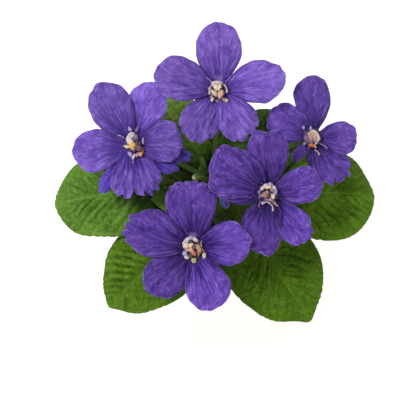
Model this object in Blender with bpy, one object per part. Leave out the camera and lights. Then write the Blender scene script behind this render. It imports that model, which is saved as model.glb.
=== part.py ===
"""Potted violet: five open flowers over a ring of round leaves, growing in a plain clay pot.

Blender 4.5 script, +Z up, front of the plant towards -Y. The pot stands on z = 0 with its axis on Z.
Sizes are named in millimetres and turned into metres where a mesh is made.
"""
import math
from collections import namedtuple

import bmesh
import bpy
from mathutils import Vector

MM = 0.001
GAP = 0.35                      # clearance kept between neighbouring solids

# Pot: a plain 60 mm clay pot with a rim band and four drain holes round the middle of its floor
POT_HEIGHT = 48.0
POT_RIM_RADIUS = 30.0
POT_RIM_DEPTH = 12.0
POT_RIM_TAPER = 1.2             # the rim band's lower edge is this much narrower than its top
POT_RIM_STEP = 1.8              # the body under the band is this much narrower than the band
POT_BASE_RADIUS = 18.5
POT_WALL = 2.8
POT_EDGE = 0.8                  # bevel on the rim and the foot
DRAIN_HOLE_RADIUS = 2.5
DRAIN_HOLE_RING = 9.0           # distance of the drain holes from the axis
DRAIN_HOLES = 4
POT_SIDES = 40
DRAIN_SIDES = 12

# Soil
SOIL_DROP = 6.0                 # edge of the soil below the rim
SOIL_MOUND = 2.5                # rise of the soil at the crown
SOIL_FIT = 0.5                  # clearance to the pot's faceted wall
SOIL_SIDES = 32

# Crown: the short thick stem that carries every leaf and stalk
CROWN_RADIUS = 4.6
CROWN_HEIGHT = 9.0
CROWN_PROFILE = ((0.0, 0.75), (0.25, 0.95), (0.5, 1.0), (0.8, 0.88), (1.0, 0.62))
CROWN_SIDES = 12
CROWN_BASE = POT_HEIGHT - SOIL_DROP + SOIL_MOUND + GAP
CROWN_TOP = CROWN_BASE + CROWN_HEIGHT

# Leaves
LEAF_THICKNESS = 0.9
LEAF_DOME = 1.6                 # height of the blade's middle over its edge
LEAF_LOBE = 0.14                # basal lobes behind the stalk's end, as a share of the length
LEAF_CLEFT = 0.32               # half the angle of the cleft between the lobes, in radians
LEAF_EGG = 0.10                 # moves the widest place towards the stalk, where a leaf has none of its own
LEAF_FULLNESS = 0.86            # below 1 makes the blade's ends rounder, where a leaf has none of its own
LEAF_POINT = 0.02               # the tip's point as a share of the length, where a leaf has none of its own
LEAF_POINT_ANGLE = 0.22
LEAF_OUTLINE_POINTS = 26
LEAF_RINGS = 3
LEAF_STALK_RADIUS = 1.5
LEAF_STALK_SEAT = 0.8           # room for the slanting end of a leaf's stalk at the crown
LEAF_STALK_STEPS = 6

# Flowers
PETAL_THICKNESS = 0.5
PETAL_START = 1.7               # distance of a petal's foot from the flower's axis
EXTRA_PETAL_START = 2.7         # the same for the small extra petals behind a flower
PETAL_WIDEST = 1.45             # exponent that puts the widest place at about two thirds of the length
PETAL_ROUNDNESS = 0.46          # exponent of the width: smaller is rounder and fuller
PETAL_LAYER = 0.95              # height between overlapping petals
PETAL_LAYER_START = 0.08        # share of the length over which a petal climbs to its layer
PETAL_LAYER_FOOT = 0.4          # share of that height that it has at its foot
PETAL_CUP = 1.0                 # rise of a petal's middle over the line from its foot to its tip
PETAL_CURL = 0.5                # drop of a petal's side edges
PETAL_CLEFT = 0.3               # half the angle of a notched petal's cleft, in radians
PETAL_OUTLINE_POINTS = 18
PETAL_RINGS = 2
STALK_RADIUS = 0.9
STALK_SPREAD = 2.6              # distance of the flower stalks' feet from the plant's axis
STALK_SEAT = 0.45               # room for the slanting end of a flower stalk on the crown
STALK_STEPS = 7
CALYX_RADIUS = 2.1
CALYX_DEPTH = 3.2               # length of the green cup under the petals
RECEPTACLE_RADIUS = 1.25
RECEPTACLE_TOP = 1.6            # height of the receptacle over the petals' feet
ANTHER_RADIUS = 2.9
ANTHER_HEIGHT = 3.2
ANTHER_STRETCH = 1.15           # the dome is a little longer than it is wide
ANTHER_PROFILE = ((0.3, 0.95), (0.6, 0.9), (0.88, 0.55))
ANTHER_SIDES = 10
TUBE_SIDES = 7
TUBE_CAP = 0.3                  # height of a tube's rounded end, as a share of its radius

# Buds: shares of the way from foot to tip, and of the bud's radius
BUD_PROFILE = ((0.0, 0.35), (0.35, 0.32), (0.62, 0.35), (0.7, 0.8), (0.82, 1.0), (0.93, 0.75), (1.0, 0.3))
BUD_SEAT = 0.65
BUD_BOW = 1.5                   # rise of a bud stalk's middle over the straight line

Leaf = namedtuple("Leaf", "name hub tip width foot egg fullness point",
                  defaults=(LEAF_EGG, LEAF_FULLNESS, LEAF_POINT))
Petal = namedtuple("Petal", "name angle length width layer lift notch")
Flower = namedtuple("Flower", "name centre lean petals")

# hub is where the leaf stalk meets the blade, tip is the blade's end, foot is the height at which the
# leaf's stalk leaves the crown; the leaves that show whole have an egg shape, fullness and point of their own
LEAVES = (
    Leaf("leaf_left", (-23.4, -4.0, 57.5), (-55.0, -6.6, 51.0), 33.0, 47.5, 0.03),
    Leaf("leaf_front_left", (-12.6, -22.1, 55.5), (-35.1, -44.0, 47.5), 32.2, 47.5, 0.12, 0.97, 0.04),
    Leaf("leaf_front_right", (11.6, -18.3, 56.5), (32.5, -47.7, 47.0), 34.4, 47.5, 0.08, 0.86, 0.05),
    Leaf("leaf_right", (23.4, -5.6, 57.5), (56.6, -3.7, 51.0), 36.1, 47.5, -0.02, 0.95),
    Leaf("leaf_back", (2.5, 13.0, 53.5), (3.5, 38.5, 49.5), 20.0, 47.5),
    Leaf("leaf_back_left", (-5.0, 10.5, 57.0), (-20.0, 31.5, 57.0), 23.0, 47.5),
    Leaf("leaf_back_right", (11.0, 7.5, 59.2), (27.0, 22.5, 59.2), 26.0, 48.0),
    Leaf("leaf_inner_left", (-3.5, 5.0, 60.5), (-11.0, 14.5, 66.0), 12.5, 52.0),
    Leaf("leaf_inner_right", (3.8, 6.3, 61.0), (10.8, 15.3, 66.5), 10.0, 52.0),
    Leaf("leaf_inner_front", (4.0, -7.0, 59.0), (12.0, -20.5, 62.5), 18.0, 52.0),
    Leaf("leaf_inner_front_left", (-6.5, -3.0, 59.0), (-20.5, -11.0, 61.5), 17.0, 52.0),
)

# lean tips the flower off the vertical. A petal's angle is counted anticlockwise from the flower's right and
# its length from the flower's axis; layer orders overlapping petals, lift raises the tip, notch is the
# depth of the cleft at the tip
FLOWERS = (
    Flower("left", (-28.0, 3.4, 78.0), (-0.15, -0.40), (
        Petal("top_left", 120, 24.6, 15.2, 1, 0.0, 0.0),
        Petal("top", 71, 23.2, 14.2, 0, -1.5, 0.0),
        Petal("left", 188, 21.6, 15.0, 0, 0.0, 0.0),
        Petal("right", 5, 17.6, 15.0, 1, 0.5, 0.0),
        Petal("bottom", 272, 19.5, 19.0, 0, 0.5, 1.5),
        Petal("low_left", 238, 19.8, 5.6, -1, -1.5, 0.0),
        Petal("low_right", 331, 18.2, 7.4, -1, -1.0, 0.0),
        Petal("far_right", 348, 20.8, 6.4, -2, -2.0, 0.0))),
    Flower("back", (2.0, 20.5, 86.0), (0.0, -0.30), (
        Petal("top", 90, 24.8, 16.6, 0, 0.0, 0.0),
        Petal("left", 164, 23.4, 15.8, 1, 0.5, 0.0),
        Petal("right", 12, 24.0, 15.4, 1, 0.0, 0.0),
        Petal("low_left", 239, 20.7, 14.0, 0, -0.5, 1.0),
        Petal("low_right", 301, 20.5, 14.0, 2, -0.5, 1.2))),
    Flower("middle", (19.0, -17.0, 80.5), (0.10, -0.45), (
        Petal("top", 90, 23.8, 14.6, 0, -0.5, 2.2),
        Petal("left", 158, 21.8, 18.4, 1, 1.0, 0.0),
        Petal("right", 15, 19.6, 13.0, 1, 0.0, 0.0),
        Petal("low_right", 309, 21.8, 12.8, 0, -2.5, 0.0),
        Petal("bottom", 262, 20.8, 14.0, 1, -2.0, 0.0))),
    Flower("front", (-7.0, -34.5, 74.0), (0.0, -0.50), (
        Petal("top", 93, 24.4, 18.0, 0, -1.5, 1.2),
        Petal("left", 160, 24.0, 16.4, 1, 0.0, 0.0),
        Petal("right", 8, 20.2, 15.4, 1, 1.5, 0.0),
        Petal("low_left", 225, 21.8, 14.8, 0, 0.0, 0.0),
        Petal("low_right", 289, 22.6, 16.8, 2, 0.0, 0.0))),
    Flower("right", (34.6, 9.0, 72.0), (0.15, -0.35), (
        Petal("top", 89, 22.2, 13.2, 0, 0.0, 0.0),
        Petal("left", 150, 17.4, 13.0, 1, -0.5, 0.0),
        Petal("right", 0, 16.2, 12.0, 1, 0.0, 0.0),
        Petal("low_right", 307, 19.6, 12.6, 0, 0.0, 1.0),
        Petal("low_left", 240, 10.2, 4.8, 0, -0.5, 0.0))),
)

CLAY = (0.55, 0.27, 0.16)
EARTH = (0.045, 0.03, 0.02)
STEM_GREEN = (0.16, 0.26, 0.06)
LEAF_GREEN = (0.09, 0.19, 0.03)
VIOLET = (0.14, 0.08, 0.42)
CREAM = (0.75, 0.62, 0.42)
BUD_GREEN = (0.45, 0.52, 0.22)


def clear_scene():
    for obj in list(bpy.data.objects):
        bpy.data.objects.remove(obj, do_unlink=True)


def material(name, colour, roughness):
    """A plain Principled material, made once and shared by the pieces of one kind."""
    made = bpy.data.materials.get(name)
    if made:
        return made
    made = bpy.data.materials.new(name)
    made.use_nodes = True
    shader = made.node_tree.nodes["Principled BSDF"]
    shader.inputs["Base Color"].default_value = (*colour, 1.0)
    shader.inputs["Roughness"].default_value = roughness
    made.diffuse_color = (*colour, 1.0)
    return made


def add_object(name, mesh_builder, finish):
    """Turn a bmesh in millimetres into a smooth-shaded object in metres."""
    bmesh.ops.scale(mesh_builder, vec=(MM, MM, MM), verts=mesh_builder.verts)
    mesh = bpy.data.meshes.new(name)
    mesh_builder.to_mesh(mesh)
    mesh_builder.free()
    mesh.shade_smooth()
    mesh.set_sharp_from_angle(angle=math.radians(40))
    mesh.materials.append(finish)
    obj = bpy.data.objects.new(name, mesh)
    bpy.context.scene.collection.objects.link(obj)
    return obj


def bridge(work, lower, upper):
    """Quads between two closed rings of the same count; upper lies along the outward normal's left."""
    count = len(lower)
    for i in range(count):
        j = (i + 1) % count
        work.faces.new((lower[i], lower[j], upper[j], upper[i]))


def turned(work, profile, sides):
    """A solid of revolution about Z from (radius, height) points that run from bottom to top."""
    rings = []
    for radius, height in profile:
        if radius == 0.0:
            rings.append([work.verts.new((0.0, 0.0, height))])
            continue
        angles = [math.tau * i / sides for i in range(sides)]
        rings.append([work.verts.new((radius * math.cos(a), radius * math.sin(a), height)) for a in angles])
    for lower, upper in zip(rings, rings[1:]):
        if len(lower) == 1:
            cap(work, upper, lower[0], flip=True)
        elif len(upper) == 1:
            cap(work, lower, upper[0])
        else:
            bridge(work, lower, upper)


def cap(work, ring, pole, flip=False):
    """Triangles from a ring to one pole; flip closes the ring's lower end."""
    count = len(ring)
    for i in range(count):
        j = (i + 1) % count
        corners = (ring[j], ring[i], pole) if flip else (ring[i], ring[j], pole)
        work.faces.new(corners)


def tube(work, centres, directions, radii, sides=TUBE_SIDES):
    """A closed tube through centres, each ring square to its direction, with a round cap at both ends."""
    side = directions[0].orthogonal().normalized()
    rings = []
    for centre, along, radius in zip(centres, directions, radii):
        side = (side - along * side.dot(along)).normalized()
        other = along.cross(side)
        ring = []
        for i in range(sides):
            angle = math.tau * i / sides
            offset = side * math.cos(angle) + other * math.sin(angle)
            ring.append(work.verts.new(centre + offset * radius))
        rings.append(ring)
    for lower, upper in zip(rings, rings[1:]):
        bridge(work, lower, upper)
    cap(work, rings[0], work.verts.new(centres[0] - directions[0] * radii[0] * TUBE_CAP), flip=True)
    cap(work, rings[-1], work.verts.new(centres[-1] + directions[-1] * radii[-1] * TUBE_CAP))


def sheet(work, outline, middle, surface, up, thickness, rings):
    """A thin closed sheet: rings shrink the outline towards middle, surface gives each point's place."""
    half = up * (thickness / 2)
    top, bottom = [], []
    for step in range(rings, 0, -1):
        share = step / rings
        points = [surface(middle[0] + (x - middle[0]) * share, middle[1] + (y - middle[1]) * share)
                  for x, y in outline]
        top.append([work.verts.new(point + half) for point in points])
        bottom.append([work.verts.new(point - half) for point in points])
    bridge(work, bottom[0], top[0])
    for outer, inner in zip(top, top[1:]):
        bridge(work, outer, inner)
    for outer, inner in zip(bottom, bottom[1:]):
        bridge(work, inner, outer)
    centre = surface(*middle)
    cap(work, top[-1], work.verts.new(centre + half))
    cap(work, bottom[-1], work.verts.new(centre - half), flip=True)


def curve_point(start, pull_start, pull_end, end, t):
    """A point and its direction on the cubic curve with these four control points."""
    u = 1.0 - t
    point = start * u ** 3 + pull_start * 3 * u * u * t + pull_end * 3 * u * t * t + end * t ** 3
    slope = (pull_start - start) * u * u + (pull_end - pull_start) * 2 * u * t + (end - pull_end) * t * t
    return point, slope.normalized()


# ---------------------------------------------------------------- pot and soil

UNDER_RIM = POT_HEIGHT - POT_RIM_DEPTH


def pot_radius(height):
    """Outer radius of the tapered body below the rim band."""
    top = POT_RIM_RADIUS - POT_RIM_STEP - POT_RIM_TAPER
    return POT_BASE_RADIUS + (top - POT_BASE_RADIUS) * height / UNDER_RIM


def pot_inner_radius(height):
    """Radius of the hollow: it follows the body, then widens to the rim."""
    if height <= UNDER_RIM:
        return pot_radius(height) - POT_WALL
    share = (height - UNDER_RIM) / (POT_RIM_DEPTH - POT_EDGE)
    under = pot_radius(UNDER_RIM) - POT_WALL
    return under + (POT_RIM_RADIUS - POT_WALL - POT_EDGE - under) * share


def make_pot():
    profile = (
        (0.0, 0.0),
        (POT_BASE_RADIUS - POT_EDGE, 0.0),
        (POT_BASE_RADIUS, POT_EDGE),
        (pot_radius(UNDER_RIM), UNDER_RIM),
        (POT_RIM_RADIUS - POT_RIM_TAPER, UNDER_RIM + POT_EDGE),
        (POT_RIM_RADIUS, POT_HEIGHT - POT_EDGE),
        (POT_RIM_RADIUS - POT_EDGE, POT_HEIGHT),
        (POT_RIM_RADIUS - POT_WALL, POT_HEIGHT),
        (pot_inner_radius(POT_HEIGHT - POT_EDGE), POT_HEIGHT - POT_EDGE),
        (pot_inner_radius(UNDER_RIM), UNDER_RIM),
        (pot_inner_radius(POT_WALL), POT_WALL),
        (0.0, POT_WALL),
    )
    work = bmesh.new()
    turned(work, profile, POT_SIDES)
    pot = add_object("pot", work, material("clay", CLAY, 0.85))
    for i in range(DRAIN_HOLES):
        angle = math.tau * (i + 0.5) / DRAIN_HOLES
        cut_drain_hole(pot, i, DRAIN_HOLE_RING * math.cos(angle), DRAIN_HOLE_RING * math.sin(angle))


def cut_drain_hole(pot, index, x, y):
    low, high = -POT_WALL, 2 * POT_WALL
    work = bmesh.new()
    turned(work, ((0.0, low), (DRAIN_HOLE_RADIUS, low), (DRAIN_HOLE_RADIUS, high), (0.0, high)), DRAIN_SIDES)
    cutter = add_object(f"drain_cutter_{index}", work, material("clay", CLAY, 0.85))
    cutter.location = (x * MM, y * MM, 0.0)
    hide_cutter(cutter)
    cut = pot.modifiers.new(f"drain_{index}", "BOOLEAN")
    cut.operation = "DIFFERENCE"
    cut.object = cutter


def hide_cutter(obj):
    obj.hide_render = True
    obj.display_type = "WIRE"


SOIL_RADIUS = pot_inner_radius(POT_HEIGHT - SOIL_DROP) - SOIL_FIT


def soil_height(radius):
    """Height of the soil surface, highest at the crown."""
    return POT_HEIGHT - SOIL_DROP + SOIL_MOUND * (1.0 - (radius / SOIL_RADIUS) ** 2)


def make_soil():
    floor = POT_WALL + GAP
    profile = [(0.0, floor)]
    profile += [(pot_inner_radius(height) - SOIL_FIT, height) for height in (floor, UNDER_RIM)]
    profile += [(SOIL_RADIUS * share, soil_height(SOIL_RADIUS * share)) for share in (1.0, 0.75, 0.45, 0.0)]
    work = bmesh.new()
    turned(work, profile, SOIL_SIDES)
    add_object("soil", work, material("earth", EARTH, 0.95))


# ---------------------------------------------------------------- plant

def crown_radius(height):
    """Radius of the crown at a height, read off its profile."""
    share = (height - CROWN_BASE) / CROWN_HEIGHT
    for (low, narrow), (high, wide) in zip(CROWN_PROFILE, CROWN_PROFILE[1:]):
        if share <= high:
            return CROWN_RADIUS * (narrow + (wide - narrow) * (share - low) / (high - low))
    return CROWN_RADIUS * CROWN_PROFILE[-1][1]


def make_crown():
    profile = [(0.0, CROWN_BASE)]
    profile += [(CROWN_RADIUS * width, CROWN_BASE + CROWN_HEIGHT * share) for share, width in CROWN_PROFILE]
    profile.append((0.0, CROWN_TOP))
    work = bmesh.new()
    turned(work, profile, CROWN_SIDES)
    add_object("crown", work, material("stem", STEM_GREEN, 0.6))


def leaf_outline(leaf, length, points):
    """Round blade in its own plane: x from the stalk's end to the tip, y across."""
    lobe = LEAF_LOBE * length
    half_length = (length + lobe) / 2
    outline = []
    for i in range(points):
        angle = math.tau * i / points
        from_tip = math.pi - abs(math.pi - angle)
        x = half_length * (1.0 + math.cos(angle)) - lobe
        x += lobe * math.exp(-((math.pi - from_tip) / LEAF_CLEFT) ** 2)
        x += leaf.point * length * math.exp(-(from_tip / LEAF_POINT_ANGLE) ** 2)
        across = math.sin(angle - leaf.egg * math.sin(angle))
        outline.append((x, leaf.width / 2 * math.copysign(abs(across) ** leaf.fullness, across)))
    return outline


def leaf_surface(leaf):
    """Gives the function from blade coordinates to space, and the blade's upward direction."""
    hub, tip = Vector(leaf.hub), Vector(leaf.tip)
    along = (tip - hub).normalized()
    across = Vector((0.0, 0.0, 1.0)).cross(along).normalized()
    up = along.cross(across)
    length = (tip - hub).length

    def surface(x, y):
        far = (2 * x / length - 1.0) ** 2 + (2 * y / leaf.width) ** 2
        return hub + along * x + across * y + up * (LEAF_DOME * (1.0 - far))

    return surface, up, length


def make_leaf(leaf):
    surface, up, length = leaf_surface(leaf)
    outline = leaf_outline(leaf, length, LEAF_OUTLINE_POINTS)
    work = bmesh.new()
    sheet(work, outline, (length * 0.45, 0.0), surface, up, LEAF_THICKNESS, LEAF_RINGS)
    blade = add_object(leaf.name, work, material("leaf", LEAF_GREEN, 0.55))
    join_stalk(blade, leaf, surface, up, length)


def join_stalk(blade, leaf, surface, up, length):
    """Union the leaf's own stalk with its blade: it leaves the crown low and runs on under the midrib."""
    hub = Vector(leaf.hub)
    outward = Vector((hub.x, hub.y, 0.0)).normalized()
    start = outward * (crown_radius(leaf.foot) + GAP + LEAF_STALK_SEAT) + Vector((0.0, 0.0, leaf.foot))
    end = surface(length * 0.16, 0.0) - up * (LEAF_STALK_RADIUS * 0.55)
    reach = (end - start).length
    along = (Vector(leaf.tip) - hub).normalized()
    pull_start = start + (outward + Vector((0.0, 0.0, 0.6))).normalized() * reach * 0.35
    pull_end = end - along * reach * 0.35
    shares = [i / LEAF_STALK_STEPS for i in range(LEAF_STALK_STEPS + 1)]
    places = [curve_point(start, pull_start, pull_end, end, share) for share in shares]
    radii = [LEAF_STALK_RADIUS * (1.1 - 0.35 * share) for share in shares]
    work = bmesh.new()
    tube(work, [p for p, _ in places], [d for _, d in places], radii)
    stalk = add_object(f"{leaf.name}_stalk", work, material("leaf", LEAF_GREEN, 0.55))
    hide_cutter(stalk)
    union = blade.modifiers.new("stalk", "BOOLEAN")
    union.operation = "UNION"
    union.object = stalk


def flower_axes(flower):
    """The flower's right, upper and facing directions."""
    facing = Vector((flower.lean[0], flower.lean[1], 1.0)).normalized()
    right = (Vector((1.0, 0.0, 0.0)) - facing * facing.x).normalized()
    return right, facing.cross(right), facing


def petal_half_width(petal, share):
    """Half the petal's width at a share of its length: a narrow claw that opens to a round blade."""
    return petal.width / 2 * max(0.0, math.sin(math.pi * share ** PETAL_WIDEST)) ** PETAL_ROUNDNESS


def petal_start(petal):
    """Distance of the petal's foot from the flower's axis; extra petals start outside the calyx."""
    return PETAL_START if petal.layer >= 0 else EXTRA_PETAL_START


def petal_outline(petal, points):
    foot = petal_start(petal)
    outline = []
    for i in range(points):
        angle = math.tau * i / points
        share = 0.5 + 0.5 * math.cos(angle)
        half = petal_half_width(petal, share)
        x = foot + (petal.length - foot) * share
        if petal.notch:
            from_tip = math.pi - abs(math.pi - angle)
            x -= petal.notch * math.exp(-(from_tip / PETAL_CLEFT) ** 2)
        outline.append((x, math.copysign(half, math.sin(angle))))
    return outline


def petal_surface(flower, petal):
    """Gives the function from petal coordinates (x along, y across) to space."""
    right, upper, facing = flower_axes(flower)
    turn = math.radians(petal.angle)
    along = right * math.cos(turn) + upper * math.sin(turn)
    across = upper * math.cos(turn) - right * math.sin(turn)
    centre = Vector(flower.centre)
    foot = petal_start(petal)

    def surface(x, y):
        share = (x - foot) / (petal.length - foot)
        edge = min(1.0, abs(y) / (petal.width / 2))
        climb = PETAL_LAYER_FOOT + (1.0 - PETAL_LAYER_FOOT) * min(1.0, max(0.0, share) / PETAL_LAYER_START)
        height = petal.layer * PETAL_LAYER * (climb if petal.layer > 0 else 1.0)
        height += PETAL_CUP * 4 * share * (1.0 - share) + petal.lift * share ** 2
        height -= PETAL_CURL * edge ** 2
        return centre + along * x + across * y + facing * height

    return surface, facing


def make_petal(flower, petal):
    surface, facing = petal_surface(flower, petal)
    outline = petal_outline(petal, PETAL_OUTLINE_POINTS)
    foot = petal_start(petal)
    middle = (foot + (petal.length - foot) * 0.55, 0.0)
    work = bmesh.new()
    sheet(work, outline, middle, surface, facing, PETAL_THICKNESS, PETAL_RINGS)
    add_object(f"petal_{flower.name}_{petal.name}", work, material("petal", VIOLET, 0.6))


def make_stalk(flower):
    """A flower's stalk, its calyx cup under the petals and the receptacle pin between their feet."""
    facing = flower_axes(flower)[2]
    centre = Vector(flower.centre)
    outward = Vector((centre.x, centre.y, 0.0)).normalized()
    start = outward * STALK_SPREAD + Vector((0.0, 0.0, CROWN_TOP + GAP + STALK_SEAT))
    under_petals = PETAL_THICKNESS / 2 + GAP
    end = centre - facing * (under_petals + CALYX_DEPTH)
    reach = (end - start).length
    pull_start = start + (outward * 0.3 + Vector((0.0, 0.0, 1.0))).normalized() * reach * 0.4
    pull_end = end - facing * reach * 0.35
    shares = [i / STALK_STEPS for i in range(STALK_STEPS + 1)]
    places = [curve_point(start, pull_start, pull_end, end, share) for share in shares]
    centres = [point for point, _ in places]
    directions = [direction for _, direction in places]
    radii = [STALK_RADIUS * (1.15 - 0.3 * share) for share in shares]
    for depth, radius in (
            (under_petals + CALYX_DEPTH * 0.45, CALYX_RADIUS * 0.8),
            (under_petals, CALYX_RADIUS),
            (under_petals - 0.05, RECEPTACLE_RADIUS),
            (-RECEPTACLE_TOP, RECEPTACLE_RADIUS * 0.8)):
        centres.append(centre - facing * depth)
        directions.append(facing)
        radii.append(radius)
    work = bmesh.new()
    tube(work, centres, directions, radii)
    add_object(f"stalk_{flower.name}", work, material("stem", STEM_GREEN, 0.6))


def make_anthers(flower):
    """The dome of anthers on the receptacle."""
    right, upper, facing = flower_axes(flower)
    receptacle_end = RECEPTACLE_TOP + RECEPTACLE_RADIUS * 0.8 * TUBE_CAP
    foot = Vector(flower.centre) + facing * (receptacle_end + GAP)
    profile = [(0.0, 0.0), (RECEPTACLE_RADIUS, 0.0)]
    profile += [(ANTHER_RADIUS * width, ANTHER_HEIGHT * share) for share, width in ANTHER_PROFILE]
    profile.append((0.0, ANTHER_HEIGHT))
    work = bmesh.new()
    turned(work, profile, ANTHER_SIDES)
    for vert in work.verts:
        x, y, z = vert.co
        vert.co = foot + right * x + upper * y * ANTHER_STRETCH + facing * z
    add_object(f"anthers_{flower.name}", work, material("anther", CREAM, 0.6))


def make_bud(name, foot, tip, radius, finish):
    """A closed bud on its own short stalk; foot is its place on the crown's flat top."""
    start = Vector((foot[0], foot[1], CROWN_TOP + GAP + BUD_SEAT))
    end = Vector(tip)
    along = (end - start).normalized()
    rise = Vector((0.0, 0.0, BUD_BOW))
    centres = [start.lerp(end, share) + rise * math.sin(math.pi * share) for share, _ in BUD_PROFILE]
    work = bmesh.new()
    tube(work, centres, [along] * len(BUD_PROFILE), [radius * width for _, width in BUD_PROFILE])
    add_object(name, work, finish)


def main():
    clear_scene()
    make_pot()
    make_soil()
    make_crown()
    for leaf in LEAVES:
        make_leaf(leaf)
    for flower in FLOWERS:
        make_stalk(flower)
        make_anthers(flower)
        for petal in flower.petals:
            make_petal(flower, petal)
    make_bud("bud_front", (0.1, -0.6), (5.0, -16.5, 69.0), 1.7, material("petal", VIOLET, 0.6))
    make_bud("bud_middle", (-0.9, 0.7), (-7.0, -3.7, 66.0), 1.4, material("bud", BUD_GREEN, 0.6))


main()
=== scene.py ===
"""Looks of the potted violet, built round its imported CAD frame.

Blender 4.5 script. Tables are in millimetres, meshes in metres, +Z up and the plant's front towards -Y.
Each CAD node gets one detailed piece that stands for it: quilted leaves, veined and ruffled petals, lobed
anthers, smooth stalks with sepals, potting mix with grains, and a clay pot.
"""
import math
from collections import namedtuple

import bpy
import numpy as np
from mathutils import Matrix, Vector, noise


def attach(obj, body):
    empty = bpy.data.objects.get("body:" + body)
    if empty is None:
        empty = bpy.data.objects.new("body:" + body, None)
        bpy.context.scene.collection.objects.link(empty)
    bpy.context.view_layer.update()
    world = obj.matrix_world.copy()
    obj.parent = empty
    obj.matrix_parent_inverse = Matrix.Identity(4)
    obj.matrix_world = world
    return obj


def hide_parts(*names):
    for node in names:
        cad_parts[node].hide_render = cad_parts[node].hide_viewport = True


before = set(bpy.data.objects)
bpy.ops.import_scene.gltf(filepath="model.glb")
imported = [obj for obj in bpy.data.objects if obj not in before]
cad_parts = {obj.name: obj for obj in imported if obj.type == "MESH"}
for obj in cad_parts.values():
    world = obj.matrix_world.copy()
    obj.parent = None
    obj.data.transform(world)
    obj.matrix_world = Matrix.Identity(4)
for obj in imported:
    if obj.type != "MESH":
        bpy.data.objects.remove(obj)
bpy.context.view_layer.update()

MM = 0.001

# ---------------- the object's dimensions, as in its CAD

POT_HEIGHT = 48.0
POT_RIM_RADIUS = 30.0
POT_RIM_DEPTH = 12.0
POT_RIM_TAPER = 1.2
POT_RIM_STEP = 1.8
POT_BASE_RADIUS = 18.5
POT_WALL = 2.8
POT_EDGE = 0.8
DRAIN_HOLE_RADIUS = 2.5
DRAIN_HOLE_RING = 9.0
DRAIN_HOLES = 4
SOIL_DROP = 6.0
SOIL_MOUND = 2.5
SOIL_FIT = 0.5
GAP = 0.35
CROWN_RADIUS = 4.6
CROWN_HEIGHT = 9.0
CROWN_PROFILE = ((0.0, 0.75), (0.25, 0.95), (0.5, 1.0), (0.8, 0.88), (1.0, 0.62))
CROWN_BASE = POT_HEIGHT - SOIL_DROP + SOIL_MOUND + GAP
CROWN_TOP = CROWN_BASE + CROWN_HEIGHT

LEAF_DOME = 1.6
LEAF_LOBE = 0.14
LEAF_CLEFT = 0.32
LEAF_EGG = 0.10
LEAF_FULLNESS = 0.86
LEAF_POINT = 0.02
LEAF_POINT_ANGLE = 0.22
LEAF_STALK_RADIUS = 1.5
LEAF_STALK_SEAT = 0.8

PETAL_START = 1.7
EXTRA_PETAL_START = 2.7
PETAL_WIDEST = 1.45
PETAL_ROUNDNESS = 0.46
PETAL_LAYER = 0.95
PETAL_LAYER_START = 0.08
PETAL_LAYER_FOOT = 0.4
PETAL_CUP = 1.0
PETAL_CURL = 0.5
PETAL_CLEFT = 0.3
STALK_RADIUS = 0.9
STALK_SPREAD = 2.6
STALK_SEAT = 0.45
CALYX_RADIUS = 2.1
CALYX_DEPTH = 3.2
RECEPTACLE_RADIUS = 1.25
RECEPTACLE_TOP = 1.6
BUD_PROFILE = ((0.0, 0.35), (0.35, 0.32), (0.62, 0.35), (0.7, 0.8), (0.82, 1.0), (0.93, 0.75), (1.0, 0.3))
BUD_SEAT = 0.65
BUD_BOW = 1.5

Leaf = namedtuple("Leaf", "name hub tip width foot egg fullness point",
                  defaults=(LEAF_EGG, LEAF_FULLNESS, LEAF_POINT))
Petal = namedtuple("Petal", "name angle length width layer lift notch")
Flower = namedtuple("Flower", "name centre lean petals")

LEAVES = (
    Leaf("leaf_left", (-23.4, -4.0, 57.5), (-55.0, -6.6, 51.0), 33.0, 47.5, 0.03),
    Leaf("leaf_front_left", (-12.6, -22.1, 55.5), (-35.1, -44.0, 47.5), 32.2, 47.5, 0.12, 0.97, 0.04),
    Leaf("leaf_front_right", (11.6, -18.3, 56.5), (32.5, -47.7, 47.0), 34.4, 47.5, 0.08, 0.86, 0.05),
    Leaf("leaf_right", (23.4, -5.6, 57.5), (56.6, -3.7, 51.0), 36.1, 47.5, -0.02, 0.95),
    Leaf("leaf_back", (2.5, 13.0, 53.5), (3.5, 38.5, 49.5), 20.0, 47.5),
    Leaf("leaf_back_left", (-5.0, 10.5, 57.0), (-20.0, 31.5, 57.0), 23.0, 47.5),
    Leaf("leaf_back_right", (11.0, 7.5, 59.2), (27.0, 22.5, 59.2), 26.0, 48.0),
    Leaf("leaf_inner_left", (-3.5, 5.0, 60.5), (-11.0, 14.5, 66.0), 12.5, 52.0),
    Leaf("leaf_inner_right", (3.8, 6.3, 61.0), (10.8, 15.3, 66.5), 10.0, 52.0),
    Leaf("leaf_inner_front", (4.0, -7.0, 59.0), (12.0, -20.5, 62.5), 18.0, 52.0),
    Leaf("leaf_inner_front_left", (-6.5, -3.0, 59.0), (-20.5, -11.0, 61.5), 17.0, 52.0),
)

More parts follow.
